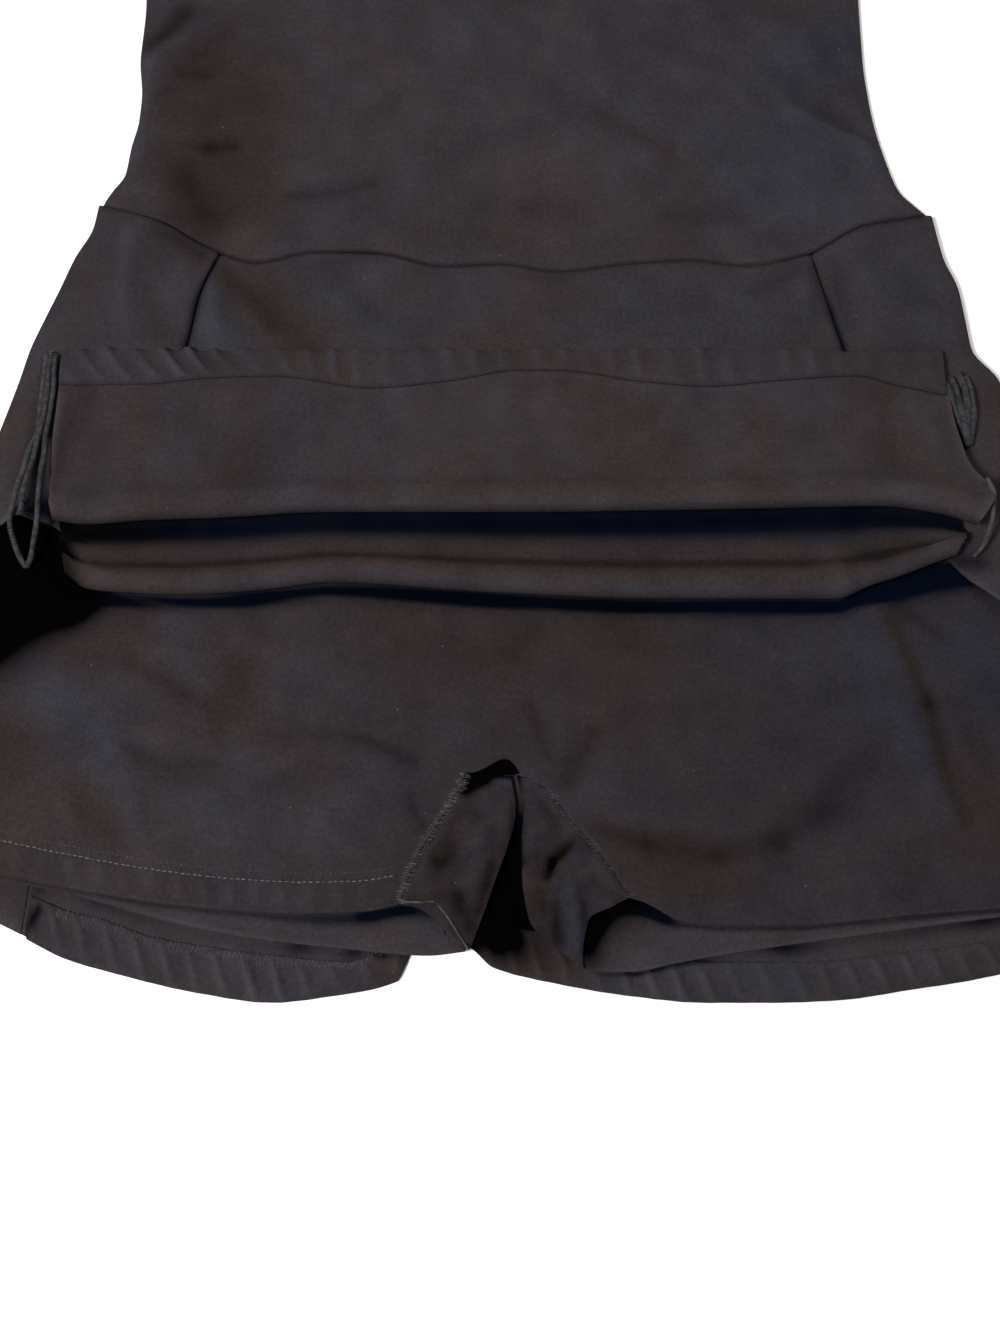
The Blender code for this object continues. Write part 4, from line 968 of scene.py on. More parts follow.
shorts = {
    "frontNet": {"legColumns": 96, "rows": 130, "crotchRow": 70},
    "backNet": {"legColumns": 84, "rows": 112, "crotchRow": 60},
    "middleColumns": 10, "crotchX": 5, "pucker": 11.8, "band": 14,
    "hemRow": 13.4, "upperRow": 17.2,    # how far up from the leg's hem its rows of stitches run
    "crotchY": -258, "drop": 12, "inset": 9, "hemLift": 2.7, "liftReach": 30, "liftRamp": 26,
    "liftHalf": 222, "liftLead": 16, "puff": 3.4, "arch": 6.6,
    "backHemLeft": [
        (-262, -293), (-221, -304), (-178, -314), (-141, -325), (-107, -332), (-65, -337),
        (-31, -340), (-14, -338),
    ],
    "backHemRight": [
        (37, -347), (56, -347), (76, -343), (111, -337), (139, -333), (168, -329),
        (196, -325), (219, -322), (262, -312),
    ],
    "frontHemLeft": [
        (-262, -290), (-220, -303), (-177, -312), (-140, -318), (-107, -321), (-86, -322),
        (-58, -321), (-44, -318),
    ],
    "frontHemRight": [
        (57, -315), (63, -317), (78, -325), (97, -327), (125, -327), (153, -325),
        (181, -322), (218, -319), (262, -309),
    ],
    "backInseam": bothSides((0, 1, 10), (1, -15, 38)),
    "frontInseam": bothSides(
        (0, -15, 9), (0.12, -18, 20), (0.4, -28, 33), (0.7, -38, 46), (1, -44, 57),
    ),
    "folds": [
        (-164, -208, -135, -223, 3, -2.3, 5, 1.6), (-156, -192, -140, -212, 2, 2.0, 7, 1.5),
        (-186, -228, -166, -244, 3, 1.5, 9, 1.4), (-122, -200, -124, -232, -2, -1.7, 7, 1.6),
        (-166, -245, -127, -254, -5, -2.5, 4, 2.0), (-176, -250, -184, -258, 0, 1.8, 6, 1.4),
        (-166, -262, -161, -286, 1, 1.9, 5, 1.5), (-178, -268, -184, -290, 1, -1.2, 6, 1.5),
        (-195, -268, -190, -288, 1, 1.5, 6, 1.5), (-124, -252, -34, -251, 16, -2.9, 5, 2.4),
        (-92, -256, -44, -262, 8, 1.4, 10, 1.4), (-100, -266, -74, -251, 1, -1.3, 6, 1.6),
        (-72, -276, -50, -262, 1, 1.4, 8, 1.4), (-41, -267, -33, -285, 1, -1.5, 3, 1.6),
        (-140, -272, -118, -266, 2, 1.2, 10, 1.4), (-212, -232, -206, -272, 3, -1.4, 10, 1.5),
        (13, -226, 21, -252, 1, -1.6, 4, 1.8), (43, -238, 29, -264, 2, -1.9, 5, 1.7),
        (30, -230, 24, -248, 1, 1.2, 6, 1.4), (56, -248, 44, -270, 2, 1.1, 8, 1.5),
        (44, -281, 112, -293, -5, -2.1, 6, 1.9), (112, -294, 163, -253, -6, -1.8, 8, 2.0),
        (60, -270, 140, -268, -12, 1.3, 13, 1.3), (176, -180, 198, -276, 4, 1.9, 8, 1.5),
        (181, -184, 206, -282, 3, -2.3, 5, 2.2), (186, -178, 203, -193, 1, -1.4, 4, 1.6),
        (-120, -190, -108, -226, 3, -0.9, 9, 1.6), (-6, -190, 6, -240, 3, 0.8, 12, 1.4),
        (80, -200, 96, -250, 4, 0.9, 18, 1.4), (-60, -190, -52, -228, 4, 0.8, 14, 1.5),
        (-240, -215, -232, -284, 3, 1.4, 9, 1.6), (236, -225, 240, -288, -3, 1.4, 9, 1.6),
    ],
    # Patches: painted black shadow in the hollow at the left under the raised skirt side, painted shadow
    # under the right end of the rolls, painted shade along creases, painted highlights on ridges, and
    # brown blotches.
    "patches": [
        (-250, -140, -206, -158, 24, -1.3, 1.2), (-248, -165, -222, -180, 21, -1.1, 1),
        (-262, -160, -240, -198, 18, -1.1, 1), (-210, -160, -198, -176, 11, -1.0, 0.6),
        (182, -168, 220, -161, 7, -1.3, 0), (166, -173, 182, -169, 4, -1.0, 0),
        (-168, -207, -142, -221, 4.5, -0.26, 0.5), (-151, -190, -139, -212, 9, 0.12, -0.35),
        (-120, -208, -118, -232, 8, -0.2, 1.1), (-205, -222, -176, -238, 17, 0.09, -0.45),
        (-118, -184, -110, -194, 8, -0.16, 0.1), (-131, -226, -128, -240, 5, -0.18, 0.3),
        (-166, -248, -149, -255, 3.6, -0.28, 0.3), (-144, -256, -128, -254, 3.2, -0.24, 0.2),
        (-176, -250, -178, -260, 7, 0.14, -0.5),
        (-165, -264, -159, -288, 5.5, 0.14, -0.5), (-218, -240, -212, -276, 16, -0.12, 0.5),
        (-188, -268, -174, -286, 8, -0.12, 0.6), (-193, -272, -190, -284, 5, 0.05, 0.1),
        (-104, -240, -86, -239, 5, -0.14, 0.2), (-80, -239, -66, -241, 3.8, -0.28, 0.2),
        (-60, -243, -40, -252, 3.8, -0.28, 0.2), (-74, -282, -50, -262, 15, 0.10, -0.4),
        (-136, -270, -108, -270, 15, 0.07, -0.35), (-112, -274, -80, -251, 6, -0.12, 0.1),
        (-73, -281, -54, -296, 6, -0.1, -0.1),
        (-41, -268, -34, -283, 2.5, -0.22, -0.1), (-176, -192, -190, -200, 14, -0.06, 0.5),
        (14, -226, 21, -250, 3, -0.2, 0.7), (43, -238, 30, -262, 4.5, -0.24, 0.7),
        (44, -283, 66, -291, 5, -0.2, 0.9), (66, -291, 95, -296, 6, -0.2, 0.9),
        (95, -296, 122, -290, 6, -0.16, 0.5), (60, -302, 100, -306, 12, -0.06, 1.0),
        (122, -290, 146, -276, 7, -0.2, 0.1), (146, -276, 161, -254, 8, -0.18, 0.1),
        (164, -186, 178, -226, 11, 0.07, -0.5), (186, -238, 194, -276, 7, 0.09, -0.5),
        (216, -250, 222, -280, 12, -0.04, 0.4),
        (-18, -262, -43, -312, 2.0, 0.22, -0.2), (12, -256, 54, -312, 2.0, 0.14, -0.1),
        (180, -184, 194, -226, 4, -0.22, 0.8), (194, -226, 205, -280, 5, -0.2, 0.7),
        (186, -180, 202, -192, 4, -0.22, 0.2), (190, -290, 230, -290, 18, 0.0, 0.4),
        (-40, -190, 60, -196, 26, -0.03, 0.4), (70, -200, 110, -230, 28, -0.04, 0.25),
        (216, -196, 236, -230, 14, -0.02, -0.4), (120, -196, 160, -204, 18, 0.02, -0.25),
    ],
    # Back patches: painted black shadow under the crotch arch, between the gusset flaps and inside the leg
    # openings.
    "backPatches": [
        (-14, -262, 8, -250, 9, -1.6, 1), (6, -251, 13, -256, 6, -1.6, 1),
        (7, -262, 10, -296, 8, -1.6, 1), (8, -296, 0, -322, 10, -1.5, 1), (-2, -322, -8, -336, 6, -1.1, 1),
        (41, -322, 56, -315, 11, -1.15, 1), (38, -326, 38, -338, 8, -1.0, 1),
        (62, -316, 72, -322, 5, -0.8, 0), (-60, -322, -40, -319, 3, -0.5, -0.4),
        (-36, -322, -22, -334, 8, 0.02, -0.4),
    ],
}


def shortsNet(panel):
    # All its columns, each leg's share of them, and how far down its rows the crotch lies.
    given = shorts[panel + "Net"]
    columns = 2 * given["legColumns"] + shorts["middleColumns"]
    return columns, given["legColumns"] / columns, given["crotchRow"] / given["rows"]


def shortsSide(y, isLeft):
    left = curveAt(skirtFold["left"], y) + shorts["inset"]
    return np.where(isLeft, left, curveAt(skirtFold["right"], y) - shorts["inset"])


def legHem(x, panel):
    left, right = (curveAt(shorts[panel + "Hem" + side], x) for side in ("Left", "Right"))
    return np.where(x < shorts["crotchX"], left, right)


def shortsBackHeight(x, y):
    clear = y - legHem(x, "back")
    lift = 1 - ease((clear - shorts["liftReach"]) / shorts["liftRamp"])
    lift = lift * (1 - ease((np.abs(x) - shorts["liftHalf"]) / shorts["liftRamp"]))
    return wall * 1.5 + gap + shorts["hemLift"] * lift


def shortsFrontHeight(x, y):
    inset = np.abs(shortsSide(y, x < shorts["crotchX"]) - x)
    belowRoll = ease((-180 - y) / 30)
    middle = ease((inset - 12) / 60) * ease(np.abs(x - shorts["crotchX"]) / 70)
    creases = foldsAt(shorts["folds"], x, y) + 0.6 * softNoise(x, y, 40, 21)
    puff = shorts["puff"] * (0.35 + 0.65 * middle) + creases * ease(inset / 16)
    atHem = ease((y - legHem(x, "front")) / 18)
    puff = np.maximum(puff * mix(0.45, 1.0, atHem), 0)
    return shortsBackHeight(x, y - shorts["liftLead"]) + wall + gap + puff * belowRoll


def shortsPlan(u, v, panel):
    # Two legs with a few columns between them, which end at the crotch.
    hemLeft, hemRight = shorts[panel + "HemLeft"], shorts[panel + "HemRight"]
    seamLeft, seamRight = shorts[panel + "Inseam"].values()
    legShare, crotch = shortsNet(panel)[1:]
    isLeft, between = u < 0.5, (u > legShare + 1e-4) & (u < 1 - legShare - 1e-4)
    share = np.clip(np.where(isLeft, u, 1 - u) / legShare, 0, 1)
    down = np.clip((v - crotch) / (1 - crotch), 0, 1)
    inner = np.where(isLeft, curveAt(seamLeft, down), curveAt(seamRight, down))
    outer = np.where(isLeft, hemLeft[0][0], hemRight[-1][0])
    innerHem = np.where(isLeft, seamLeft[-1][1], seamRight[-1][1])
    hemX = mix(outer, innerHem, share)
    low = np.where(isLeft, curveAt(hemLeft, hemX), curveAt(hemRight, hemX))
    below = v > crotch + 1e-4
    y = np.where(below, mix(shorts["crotchY"], low, down), shorts["crotchY"] * v / crotch)
    betweenShare = np.clip((u - legShare) / (1 - 2 * legShare), 0, 1)
    for _ in range(4):
        x = mix(shortsSide(y, isLeft), inner, share)
        x = np.where(between, mix(seamLeft[0][1], seamRight[0][1], betweenShare), x)
        top = mix(backSeamY(x) - shorts["drop"], shorts["crotchY"], v / crotch)
        if panel == "front":
            follow = np.exp(-(((top + 175) / 26) ** 2))    # its rows run along the lower roll there
            top = top + (curveAt(skirtFront["lowerRoll"], x) + 173) * follow
        y = np.where(below, y, top)
    arch = (panel == "front") * shorts["arch"] * np.sin(np.pi * betweenShare**2.1) * between
    arch = arch * ease((v / crotch - 0.8) / 0.2)
    return x, y + np.where(below, 0, arch)


def hemPuckers(x, clear):
    # The turned hem of a leg puckers between its edge and its stitching.
    inBand = np.sin(np.pi * np.clip(clear / shorts["band"], 0, 1))
    return inBand * ripplesAt(x, -clear, shorts["pucker"], 0.1, 61)


def shortsFrontShape(u, v):
    x, y = shortsPlan(u, v, "front")
    clear = y - legHem(x, "front")
    puckers = np.where(x < shorts["crotchX"], 1.25, 0.45) * hemPuckers(x, clear)
    rows = sewnIn(clear - shorts["hemRow"], 0.9) + 0.6 * sewnIn(clear - shorts["upperRow"], 0.9)
    stitched = 0.7 * (x < -44) * rows
    z = shortsFrontHeight(x, y) + puckers - stitched - 0.6 * sewnIn(clear, 1.4)
    return x, y, z, x, y


def shortsBackShape(u, v):
    x, y = shortsPlan(u, v, "back")
    clear = y - legHem(x, "back")
    eased = 0.5 * np.sin(np.pi * np.clip(clear / 12, 0, 1)) * ripplesAt(x, -clear, 13, 0.1, 63)
    return x, y, shortsBackHeight(x, y) + eased, x, y


def keepShorts(panel):
    legShare, crotch = shortsNet(panel)[1:]
    return lambda u, v: (u < legShare) | (u > 1 - legShare) | (v < crotch)


def shortsFrontTint(u, v, x, y):
    tone, warmth = patchesAt(shorts["patches"], x, y)
    tone = tone - 0.13 - 0.13 * ease((x + 90) / 60) - 0.03 * ease((x - 60) / 60)
    warmth = warmth + 0.15 - 0.2 * ease((x - 30) / 80)
    clear = y - legHem(x, "front")
    below = y - curveAt(skirtFront["lowerRoll"], x) + 2.4
    shade = (1.0 + 0.15 * softNoise(x, 0 * x, 90, 65)) * (1 - ease((np.abs(x) - 200) / 8))
    tone = tone - shade * np.exp(-((below / 3.0) ** 2)) - 0.2 * shade * np.exp(-((below / 7) ** 2))
    # Painted light on the hem's puckers, and a painted highlight along the hem's fold.
    strong = np.where(x < shorts["crotchX"], 0.24, 0.08)
    tone = tone + strong * (hemPuckers(x, clear) - 0.35) * (clear < shorts["band"])
    return tone + 0.14 * sewnIn(clear, 0.9), warmth


def shortsBackTint(u, v, x, y):
    tone, warmth = patchesAt(shorts["backPatches"], x, y)
    # Painted shadow under the front leg's hem, and a painted highlight along the back leg's hem.
    reach = curveAt([(-110, 1.1), (-80, 2.6), (-50, 3.2), (60, 3.0), (84, 1.2)], x)
    under = np.exp(-(((y - legHem(x, "front") + 0.4 + 0.7 * reach) / reach) ** 2))
    paintedShade = curveAt([(-260, 0.5), (-110, 0.5), (-70, 0.8), (-48, 0.9), (60, 0.7), (90, 0.6)], x)
    tone = tone - under * paintedShade + 0.16 * sewnIn(y - legHem(x, "back"), 0.9)
    return tone, warmth


shortsFrontPiece = buildCloth(
    "shorts_front_cloth", "shorts_front", rightSide, shortsNet("front")[0],
    shorts["frontNet"]["rows"], shortsFrontShape, keepShorts("front"), shortsFrontTint,
)
shortsBackPiece = buildCloth(
    "shorts_back_cloth", "shorts_back", wrongSide, shortsNet("back")[0],
    shorts["backNet"]["rows"], shortsBackShape, keepShorts("back"), shortsBackTint,
)


# Gusset flaps at the crotch

gussets = {
    "columns": 34, "rows": 72, "puff": 2.0,
    # the free edges: share of the way down, x, y
    "left": [
        (0, 5, -259), (0.2, 7, -274), (0.4, 4, -289), (0.6, -1, -304), (0.8, -7, -321),
        (1, -13, -337),
    ],
    "right": [
        (0, 7.5, -259), (0.2, 11, -274), (0.4, 10, -289), (0.6, 10, -306), (0.8, 13, -324),
        (1, 36, -346),
    ],
    # how far the hem hangs to the right and up from a straight line, along it from the seam
    "hemLeft": [(0, 0, 0), (0.3, 0, 3.5), (0.6, 1.0, 1.5), (0.85, 0, 0), (1, 0, 0)],
    "hemRight": [(0, 0, 0), (0.33, 0, 6.5), (0.62, -5.0, 10.0), (0.82, -3.4, 6.6), (1, 0, 0)],
    "foldsLeft": [
        (-24, -284, -22, -304, 2, -1.8, 4, 1.6), (-12, -276, -14, -300, 2, 1.4, 5, 1.5),
        (-32, -292, -28, -300, 1, -1.0, 3, 1.4), (-34, -306, -18, -308, 2, -1.0, 2.4, 1.5),
        (-18, -312, -14, -328, 1, -1.3, 3.5, 1.5), (-8, -262, 2, -268, 0, 1.0, 4, 1.5),
        (-30, -314, -24, -320, 0, 1.0, 3, 1.4),
    ],
    "foldsRight": [
        (33, -289, 24, -298, 2, -2.6, 2.8, 1.7), (24, -298, 21, -306, 1, -2.2, 2.6, 1.6),
        (17, -270, 18, -296, 1, 1.5, 4, 1.5), (28, -280, 36, -296, 1, 1.3, 3.5, 1.5),
        (31, -308, 33, -336, 1, 1.8, 3.6, 1.4), (22, -312, 24, -334, 1, -1.3, 3, 1.6),
        (40, -300, 46, -312, 0, -0.9, 3, 1.4), (14, -300, 16, -326, 1, 1.0, 3, 1.4),
    ],
    # Patches: painted shade under the crotch arch, along creases and by the gap between the flaps, paler
    # lines along the inseams and ridges, and brown blotches.
    "patchesLeft": [
        (-24, -286, -22, -300, 6, -0.2, 0.9), (-16, -265, -8, -260, 4.2, -1.2, 1),
        (-6, -257, 4, -257, 2.0, -0.8, 1), (-16, -264, -40, -310, 2.2, 0.22, -0.2),
        (-12, -276, -14, -298, 6, 0.05, -0.2), (-18, -314, -14, -328, 4, -0.3, 0.5),
        (-31, -296, -27, -300, 4, -0.25, 0.9), (-4, -300, -10, -320, 3, -0.35, 1.0),
        (-28, -312, -20, -316, 4, -0.05, 0.6),
    ],
    "patchesRight": [
        (14, -262, 50, -310, 2.2, 0.16, -0.1), (32, -290, 23, -299, 2.6, -0.45, 0.8),
        (23, -299, 21, -306, 2.4, -0.55, 0.8),
        (13, -300, 17, -330, 6, -0.12, 0.8), (31, -310, 33, -336, 3.6, 0.22, -0.7),
        (18, -272, 22, -288, 6, 0.0, 0.35), (8, -262, 9, -300, 2.0, -0.6, 0),
        (24, -318, 25, -334, 3, -0.35, 0.5), (36, -318, 36, -340, 1.5, -0.3, 0),
    ],
}


def columnPairs(rows, k):
    # The first column of a table with its column k, as pairs.
    return [(row[0], row[k]) for row in rows]


def gussetShape(side):
    sign = 1 if side == "left" else -1
    seam, hem = shorts["frontInseam"][side], shorts["frontHem" + side.title()]
    free, sag = gussets[side], gussets["hem" + side.title()]
    folds = gussets["folds" + side.title()]

    def shape(a, v):
        seamX = curveAt(seam, v) + sign * gap
        seamLow = curveAt(hem, seam[-1][1])
        x = mix(seamX, curveAt(columnPairs(free, 1), v), a)
        y = mix(mix(shorts["crotchY"], seamLow, v), curveAt(columnPairs(free, 2), v), a)
        atHem = ease((v - 0.55) / 0.45)
        x = x + curveAt(columnPairs(sag, 1), a) * atHem
        y = y + curveAt(columnPairs(sag, 2), a) * atHem
        z = shortsBackHeight(x, y - shorts["liftLead"]) + wall + gap
        full = ease(v * 3) * ease(a * 3)
        z = z + gussets["puff"] * np.sin(np.pi * np.clip(a * 0.8 + 0.1, 0, 1)) * ease(v * 3)
        z = z + (foldsAt(folds, x, y) + 1.1 * softNoise(x, y, 15, 31)) * full
        z = z - 1.6 * np.exp(-(((1 - a) / 0.08) ** 2)) * ease(v * 3)
        return x, y, z, x, y

    return shape


def gussetTint(side):
    def tint(a, v, x, y):
        tone, warmth = patchesAt(gussets["patches" + side.title()], x, y)
        # Darker all over, with painted shade along the top edge under the crotch arch.
        tone = tone - 0.36 + 0.12 * softNoise(x, y, 13, 34) - 0.8 * sewnIn(v, 0.02)
        return tone, warmth + 0.15 + 0.4 * softNoise(x, y, 12, 33)

    return tint


for side in ("left", "right"):
    piece = buildCloth(
        "gusset_%s_cloth" % side, "gusset_" + side, wrongSide,
        gussets["columns"], gussets["rows"], gussetShape(side), tint=gussetTint(side),
    )


# Skirt back and its turned hem

skirtBack = {
    "columns": 150, "rows": 64, "hemColumns": 400, "hemRows": 16, "pitch": 12.5, "lean": 0.35,
    "left": -211, "right": 226, "rippleHeight": 2.6,
    "overlock": [
        (-211, -311), (-189, -320), (-176, -323), (-153, -331), (-131, -335), (-100, -339),
        (-65, -342), (-40, -326), (-12, -324), (12, -328), (21, -329), (52, -337), (87, -342),
        (131, -342), (175, -338), (219, -332), (226, -330),
    ],
    "legShade": [
        (-212, 0.0), (-200, 0.7), (-50, 0.8), (-40, 0.0), (36, 0.0), (60, 0.95), (226, 0.9),
    ],
    # Patches: painted black shadow between the gusset flaps and under the crotch, and painted shadow in
    # the right leg opening.
    "patches": [
        (4, -285, 2, -318, 14, -1.6, 1), (-8, -326, 8, -332, 9, -1.3, 1),
        (48, -318, 44, -334, 12, -1.0, 0),
    ],
    # Hem patches: painted shadow below the gap between the gusset flaps and beside the left side seam,
    # with faint paler and warmer blotches.
    "hemPatches": [
        (-18, -327, 0, -329, 9, -1.1, 1), (-12, -334, 4, -338, 10, -0.4, 1),
        (6, -328, 14, -336, 12, -0.3, 1), (-203, -319, -208, -330, 2.4, -0.8, 0.4),
        (10, -334, 26, -340, 9, -0.15, 0.6),
        (-150, -345, -80, -350, 16, 0.05, -0.2), (-50, -338, -46, -346, 8, -0.1, 0.5),
        (60, -345, 190, -345, 20, 0.05, -0.2), (20, -340, 30, -348, 8, 0.0, 0.4),
    ],
}


def backPlan(u, v):
    low = curveAt(backHem, mix(skirtBack["left"], skirtBack["right"], u))
    y = mix(20, low, v)
    for _ in range(3):
        left, right = curveAt(backSeam["left"], y), curveAt(backSeam["right"], y)
        x = mix(left + seamGap, right - seamGap, u)
        y = mix(backSeamY(x) - seamGap, low, v)
    return x, y


def skirtBackShape(u, v):
    x, y = backPlan(u, v)
    return x, y, np.full_like(x, wall / 2), x, y


def backHemShape(u, w):
    # The turned hem runs from the hem's fold, w = 0, up to its overlocked edge.
    x, low = backPlan(mix(0.006, 0.994, u), np.ones_like(u))
    depth = curveAt(skirtBack["overlock"], x) - low
    ripple = ripplesAt(x, (1 - w) * depth, skirtBack["pitch"], skirtBack["lean"], 41)
    ripple = skirtBack["rippleHeight"] * ripple * np.sin(np.pi * np.clip(w, 0, 1)) ** 0.7
    lift = (wall + gap) * ease(w / 0.1) + ripple - 0.5 * ease((w - 0.88) / 0.12)
    return x, low - 0.5 + w * depth, wall / 2 + 0.25 + lift, x, w * depth


def backLegShade(x, y):
    # The thin dark line where the legs' back hem lies on the skirt.
    below = y - legHem(x, "back") + 0.9
    return curveAt(skirtBack["legShade"], x) * np.exp(-((below / 1.3) ** 2))


def skirtBackTint(u, v, x, y):
    tone, warmth = patchesAt(skirtBack["patches"], x, y)
    return tone - backLegShade(x, y), warmth


def backHemTint(u, w, x, y):
    tone, warmth = patchesAt(skirtBack["hemPatches"], x, y)
    lit = ripplesAt(x, (1 - w) * 18, skirtBack["pitch"], skirtBack["lean"], 41)
    # Painted highlight along the hem's fold; the lit puckers are painted paler and the others darker.
    tone = tone + 0.12 * np.exp(-((w / 0.06) ** 2))
    tone = tone + 0.22 * (lit - 0.45) * (1 - ease((w - 0.7) / 0.3))
    return tone - backLegShade(x, y), warmth + 0.15 * softNoise(x, y, 16, 43)


skirtBackPiece = buildCloth(
    "skirt_back_cloth", "skirt_back", wrongSide, skirtBack["columns"],
    skirtBack["rows"], skirtBackShape, tint=skirtBackTint,
)
backHemPiece = buildCloth(
    "skirt_back_hem_cloth", "skirt_back_hem", wrongSide, skirtBack["hemColumns"],
    skirtBack["hemRows"], backHemShape, tint=backHemTint,
)
print("cloth done")


# Seam allowances: overlocked edges that twist into cords where they stand free

edges = {
    "leftThick": 2.4, "rightThick": 3.3, "rimThick": 2.0, "gussetThick": 0.9,
    "wrap": 0.34, "wrapPitch": 1.4, "step": 2.2, "unevenThick": 0.22,
    # x, y, z
    "leftOuter": [
        (-217.8, -51, 9.0), (-218.4, -60, 9.2), (-218.6, -75, 9.8), (-219.2, -90, 11.0),
        (-221, -100, 12.6), (-222.6, -112, 14.6), (-225, -127, 17.6), (-226.4, -140, 17.4),
        (-225, -150, 13.6), (-221.6, -158, 9.6), (-219.6, -160.5, 8.6),
    ],
    "leftMiddle": [
        (-216.2, -50, 9.6), (-216.2, -62, 9.8), (-216.6, -78, 10.4), (-217.6, -92, 11.8),
        (-219, -104, 13.4), (-220.4, -114, 15.2), (-221.4, -126, 17.6), (-221.6, -136, 17.4),
    ],
    "leftInner": [
        (-214.2, -51, 9.0), (-214.0, -64, 9.2), (-214.2, -80, 9.8), (-214.6, -96, 11.2),
        (-214.8, -110, 13.2), (-214.6, -124, 16.0), (-214.6, -138, 16.6), (-215.6, -148, 13.8),
        (-217.6, -157, 9.8), (-219.6, -160.5, 8.6),
    ],
    "rightStrands": [
        [(213.6, -66, 8.0), (215.4, -74, 9.2), (217.6, -84, 9.0), (221.0, -96, 8.0)],
        [(216.4, -63, 8.6), (218.2, -72, 10.4), (219.8, -84, 10.0), (221.6, -98, 8.2)],
        [(219.6, -61, 9.0), (221.6, -72, 11.0), (222.4, -84, 10.4), (222.2, -99, 8.2)],
        [(223.0, -63, 8.4), (225.0, -73, 10.0), (225.0, -84, 9.6), (222.8, -98, 8.0)],
    ],
    "rightRim": [
        (225.5, -121, 20.8), (228.5, -129, 20.2), (228.5, -137, 18.0), (226, -146, 14.6),
        (223, -152, 12.2), (219, -156, 10.8),
    ],
    "gussetCord": [
        (-45, -316, 9.6), (-40, -317.4, 9.8), (-35, -317.4, 9.8), (-30, -317, 9.6),
        (-25.4, -321, 9.4), (-21.4, -326, 9.2), (-17.4, -332, 8.8), (-13.6, -338, 8.2),
    ],
}


def alongPath(points, count):
    # Evenly spaced points of a smooth curve through these.
    points = np.array(points, float)
    steps = np.linalg.norm(np.diff(points, axis=0), axis=1)
    keys = np.concatenate([[0], np.cumsum(steps)])
    at = np.linspace(0, keys[-1], count)
    return np.stack([curveAt(np.c_[keys, points[:, k]], at) for k in range(3)], axis=1)


def pathLength(points):
    return float(np.linalg.norm(np.diff(np.array(points, float), axis=0), axis=1).sum())


def wrapRound(points, radius, pitch):
    # A thread wound round a cord: six points a turn.
    turns = pathLength(points) / pitch
    line = alongPath(points, int(turns * 6))
    ahead = np.gradient(line, axis=0)
    ahead /= np.linalg.norm(ahead, axis=1)[:, None]
    side = np.cross(ahead, (0.0, 0.0, 1.0))
    side /= np.linalg.norm(side, axis=1)[:, None] + 1e-9
    up = np.cross(side, ahead)
    angle = np.arange(len(line)) * math.pi / 3
    return line + radius * (np.cos(angle)[:, None] * side + np.sin(angle)[:, None] * up)


def twisted(points, seed):
    # The same path, a little uneven.
    line = alongPath(points, 24)
    shift = [softNoise(line[:, 1] + 90 * seed, 0 * line[:, 1], 19, 75 + k) for k in range(2)]
    line[:, 0] += 0.55 * shift[0]
    line[:, 2] += 0.4 * shift[1]
    return line


def buildEdge(name, node, runs, thick, look=softEdge, core=softEdge):
    # Cords of rolled cloth edge with their overlock thread wound round them.
    runs = [twisted(run, seed) for seed, run in enumerate(runs)]
    cores = [alongPath(run, max(int(pathLength(run) / edges["step"]), 6)) for run in runs]
    buildThread(name + "_cords", core, cores, thick, 2, node, edges["unevenThick"])
    wraps = [wrapRound(run, thick / 2 + 0.12, edges["wrapPitch"]) for run in runs]
    buildThread(name + "_wrapping", look, wraps, edges["wrap"], 0)


buildEdge(
    "seam_allowance_left", "seam_allowance_left",
    [edges["leftOuter"], edges["leftMiddle"], edges["leftInner"]],
    edges["leftThick"], softEdge, darkEdge,
)
buildEdge(
    "seam_allowance_right", "seam_allowance_right", edges["rightStrands"],
    edges["rightThick"], seamThread, darkEdge,
)
buildEdge("skirt_front_rim", None, [edges["rightRim"]], edges["rimThick"])
buildEdge(
    "gusset_left_hem_edge", None, [edges["gussetCord"]], edges["gussetThick"]
)
print("seam edges done")


# Sewing

sewing = {
    "pitch": 2.7, "stitch": 1.9, "overlockPitch": 1.5, "overlockThread": 0.34,
    "flatlockPitch": 1.35, "flatlockWidth": 5.4, "inseam": 75,
    "legHem": (-258, -46),
}


def dashes(line, seed, pitch=None, stitch=None):
    # A row of short stitches along a line: each one's ends sink into the cloth.
    draw = np.random.default_rng(seed)
    pitch, stitch = pitch or sewing["pitch"], stitch or sewing["stitch"]
    line = np.array(line, float)
    keys = np.concatenate([[0], np.cumsum(np.linalg.norm(np.diff(line, axis=0), axis=1))])
    starts = np.arange(0, keys[-1] - stitch, pitch)
    runs = []
    for start in starts + draw.uniform(-0.15, 0.15, len(starts)):
        at = start + stitch * np.array([0.0, 0.5, 1.0]) * draw.uniform(0.8, 1.1)
        run = np.stack([np.interp(at, keys, line[:, k]) for k in range(3)], axis=1)
        run[:, 1] += draw.uniform(-0.15, 0.15)
        run[[0, -1], 2] -= 0.25
        runs.append(run)
    return runs


def legHemLine(inset, first, last):
    # A line on the legs' front, a set distance up from the hem.
    x = np.linspace(first, last, 400)
    y = legHem(x, "front") + inset
    return np.stack([x, y, shortsFrontHeight(x, y) + wall / 2 - 0.35], axis=1)


def zigzag(shape, low, high, count, seed, lift=0.12, span=(0.004, 0.996)):
    # One long thread that goes back and forth over a cloth's stitched edge.
    draw = np.random.default_rng(seed)
    u = np.linspace(*span, 2 * count) + draw.uniform(-4e-4, 4e-4, 2 * count)
    w = np.where(np.arange(2 * count) % 2, high, low) + draw.uniform(-0.03, 0.03, 2 * count)
    return onCloth(shape, u, w, lift)


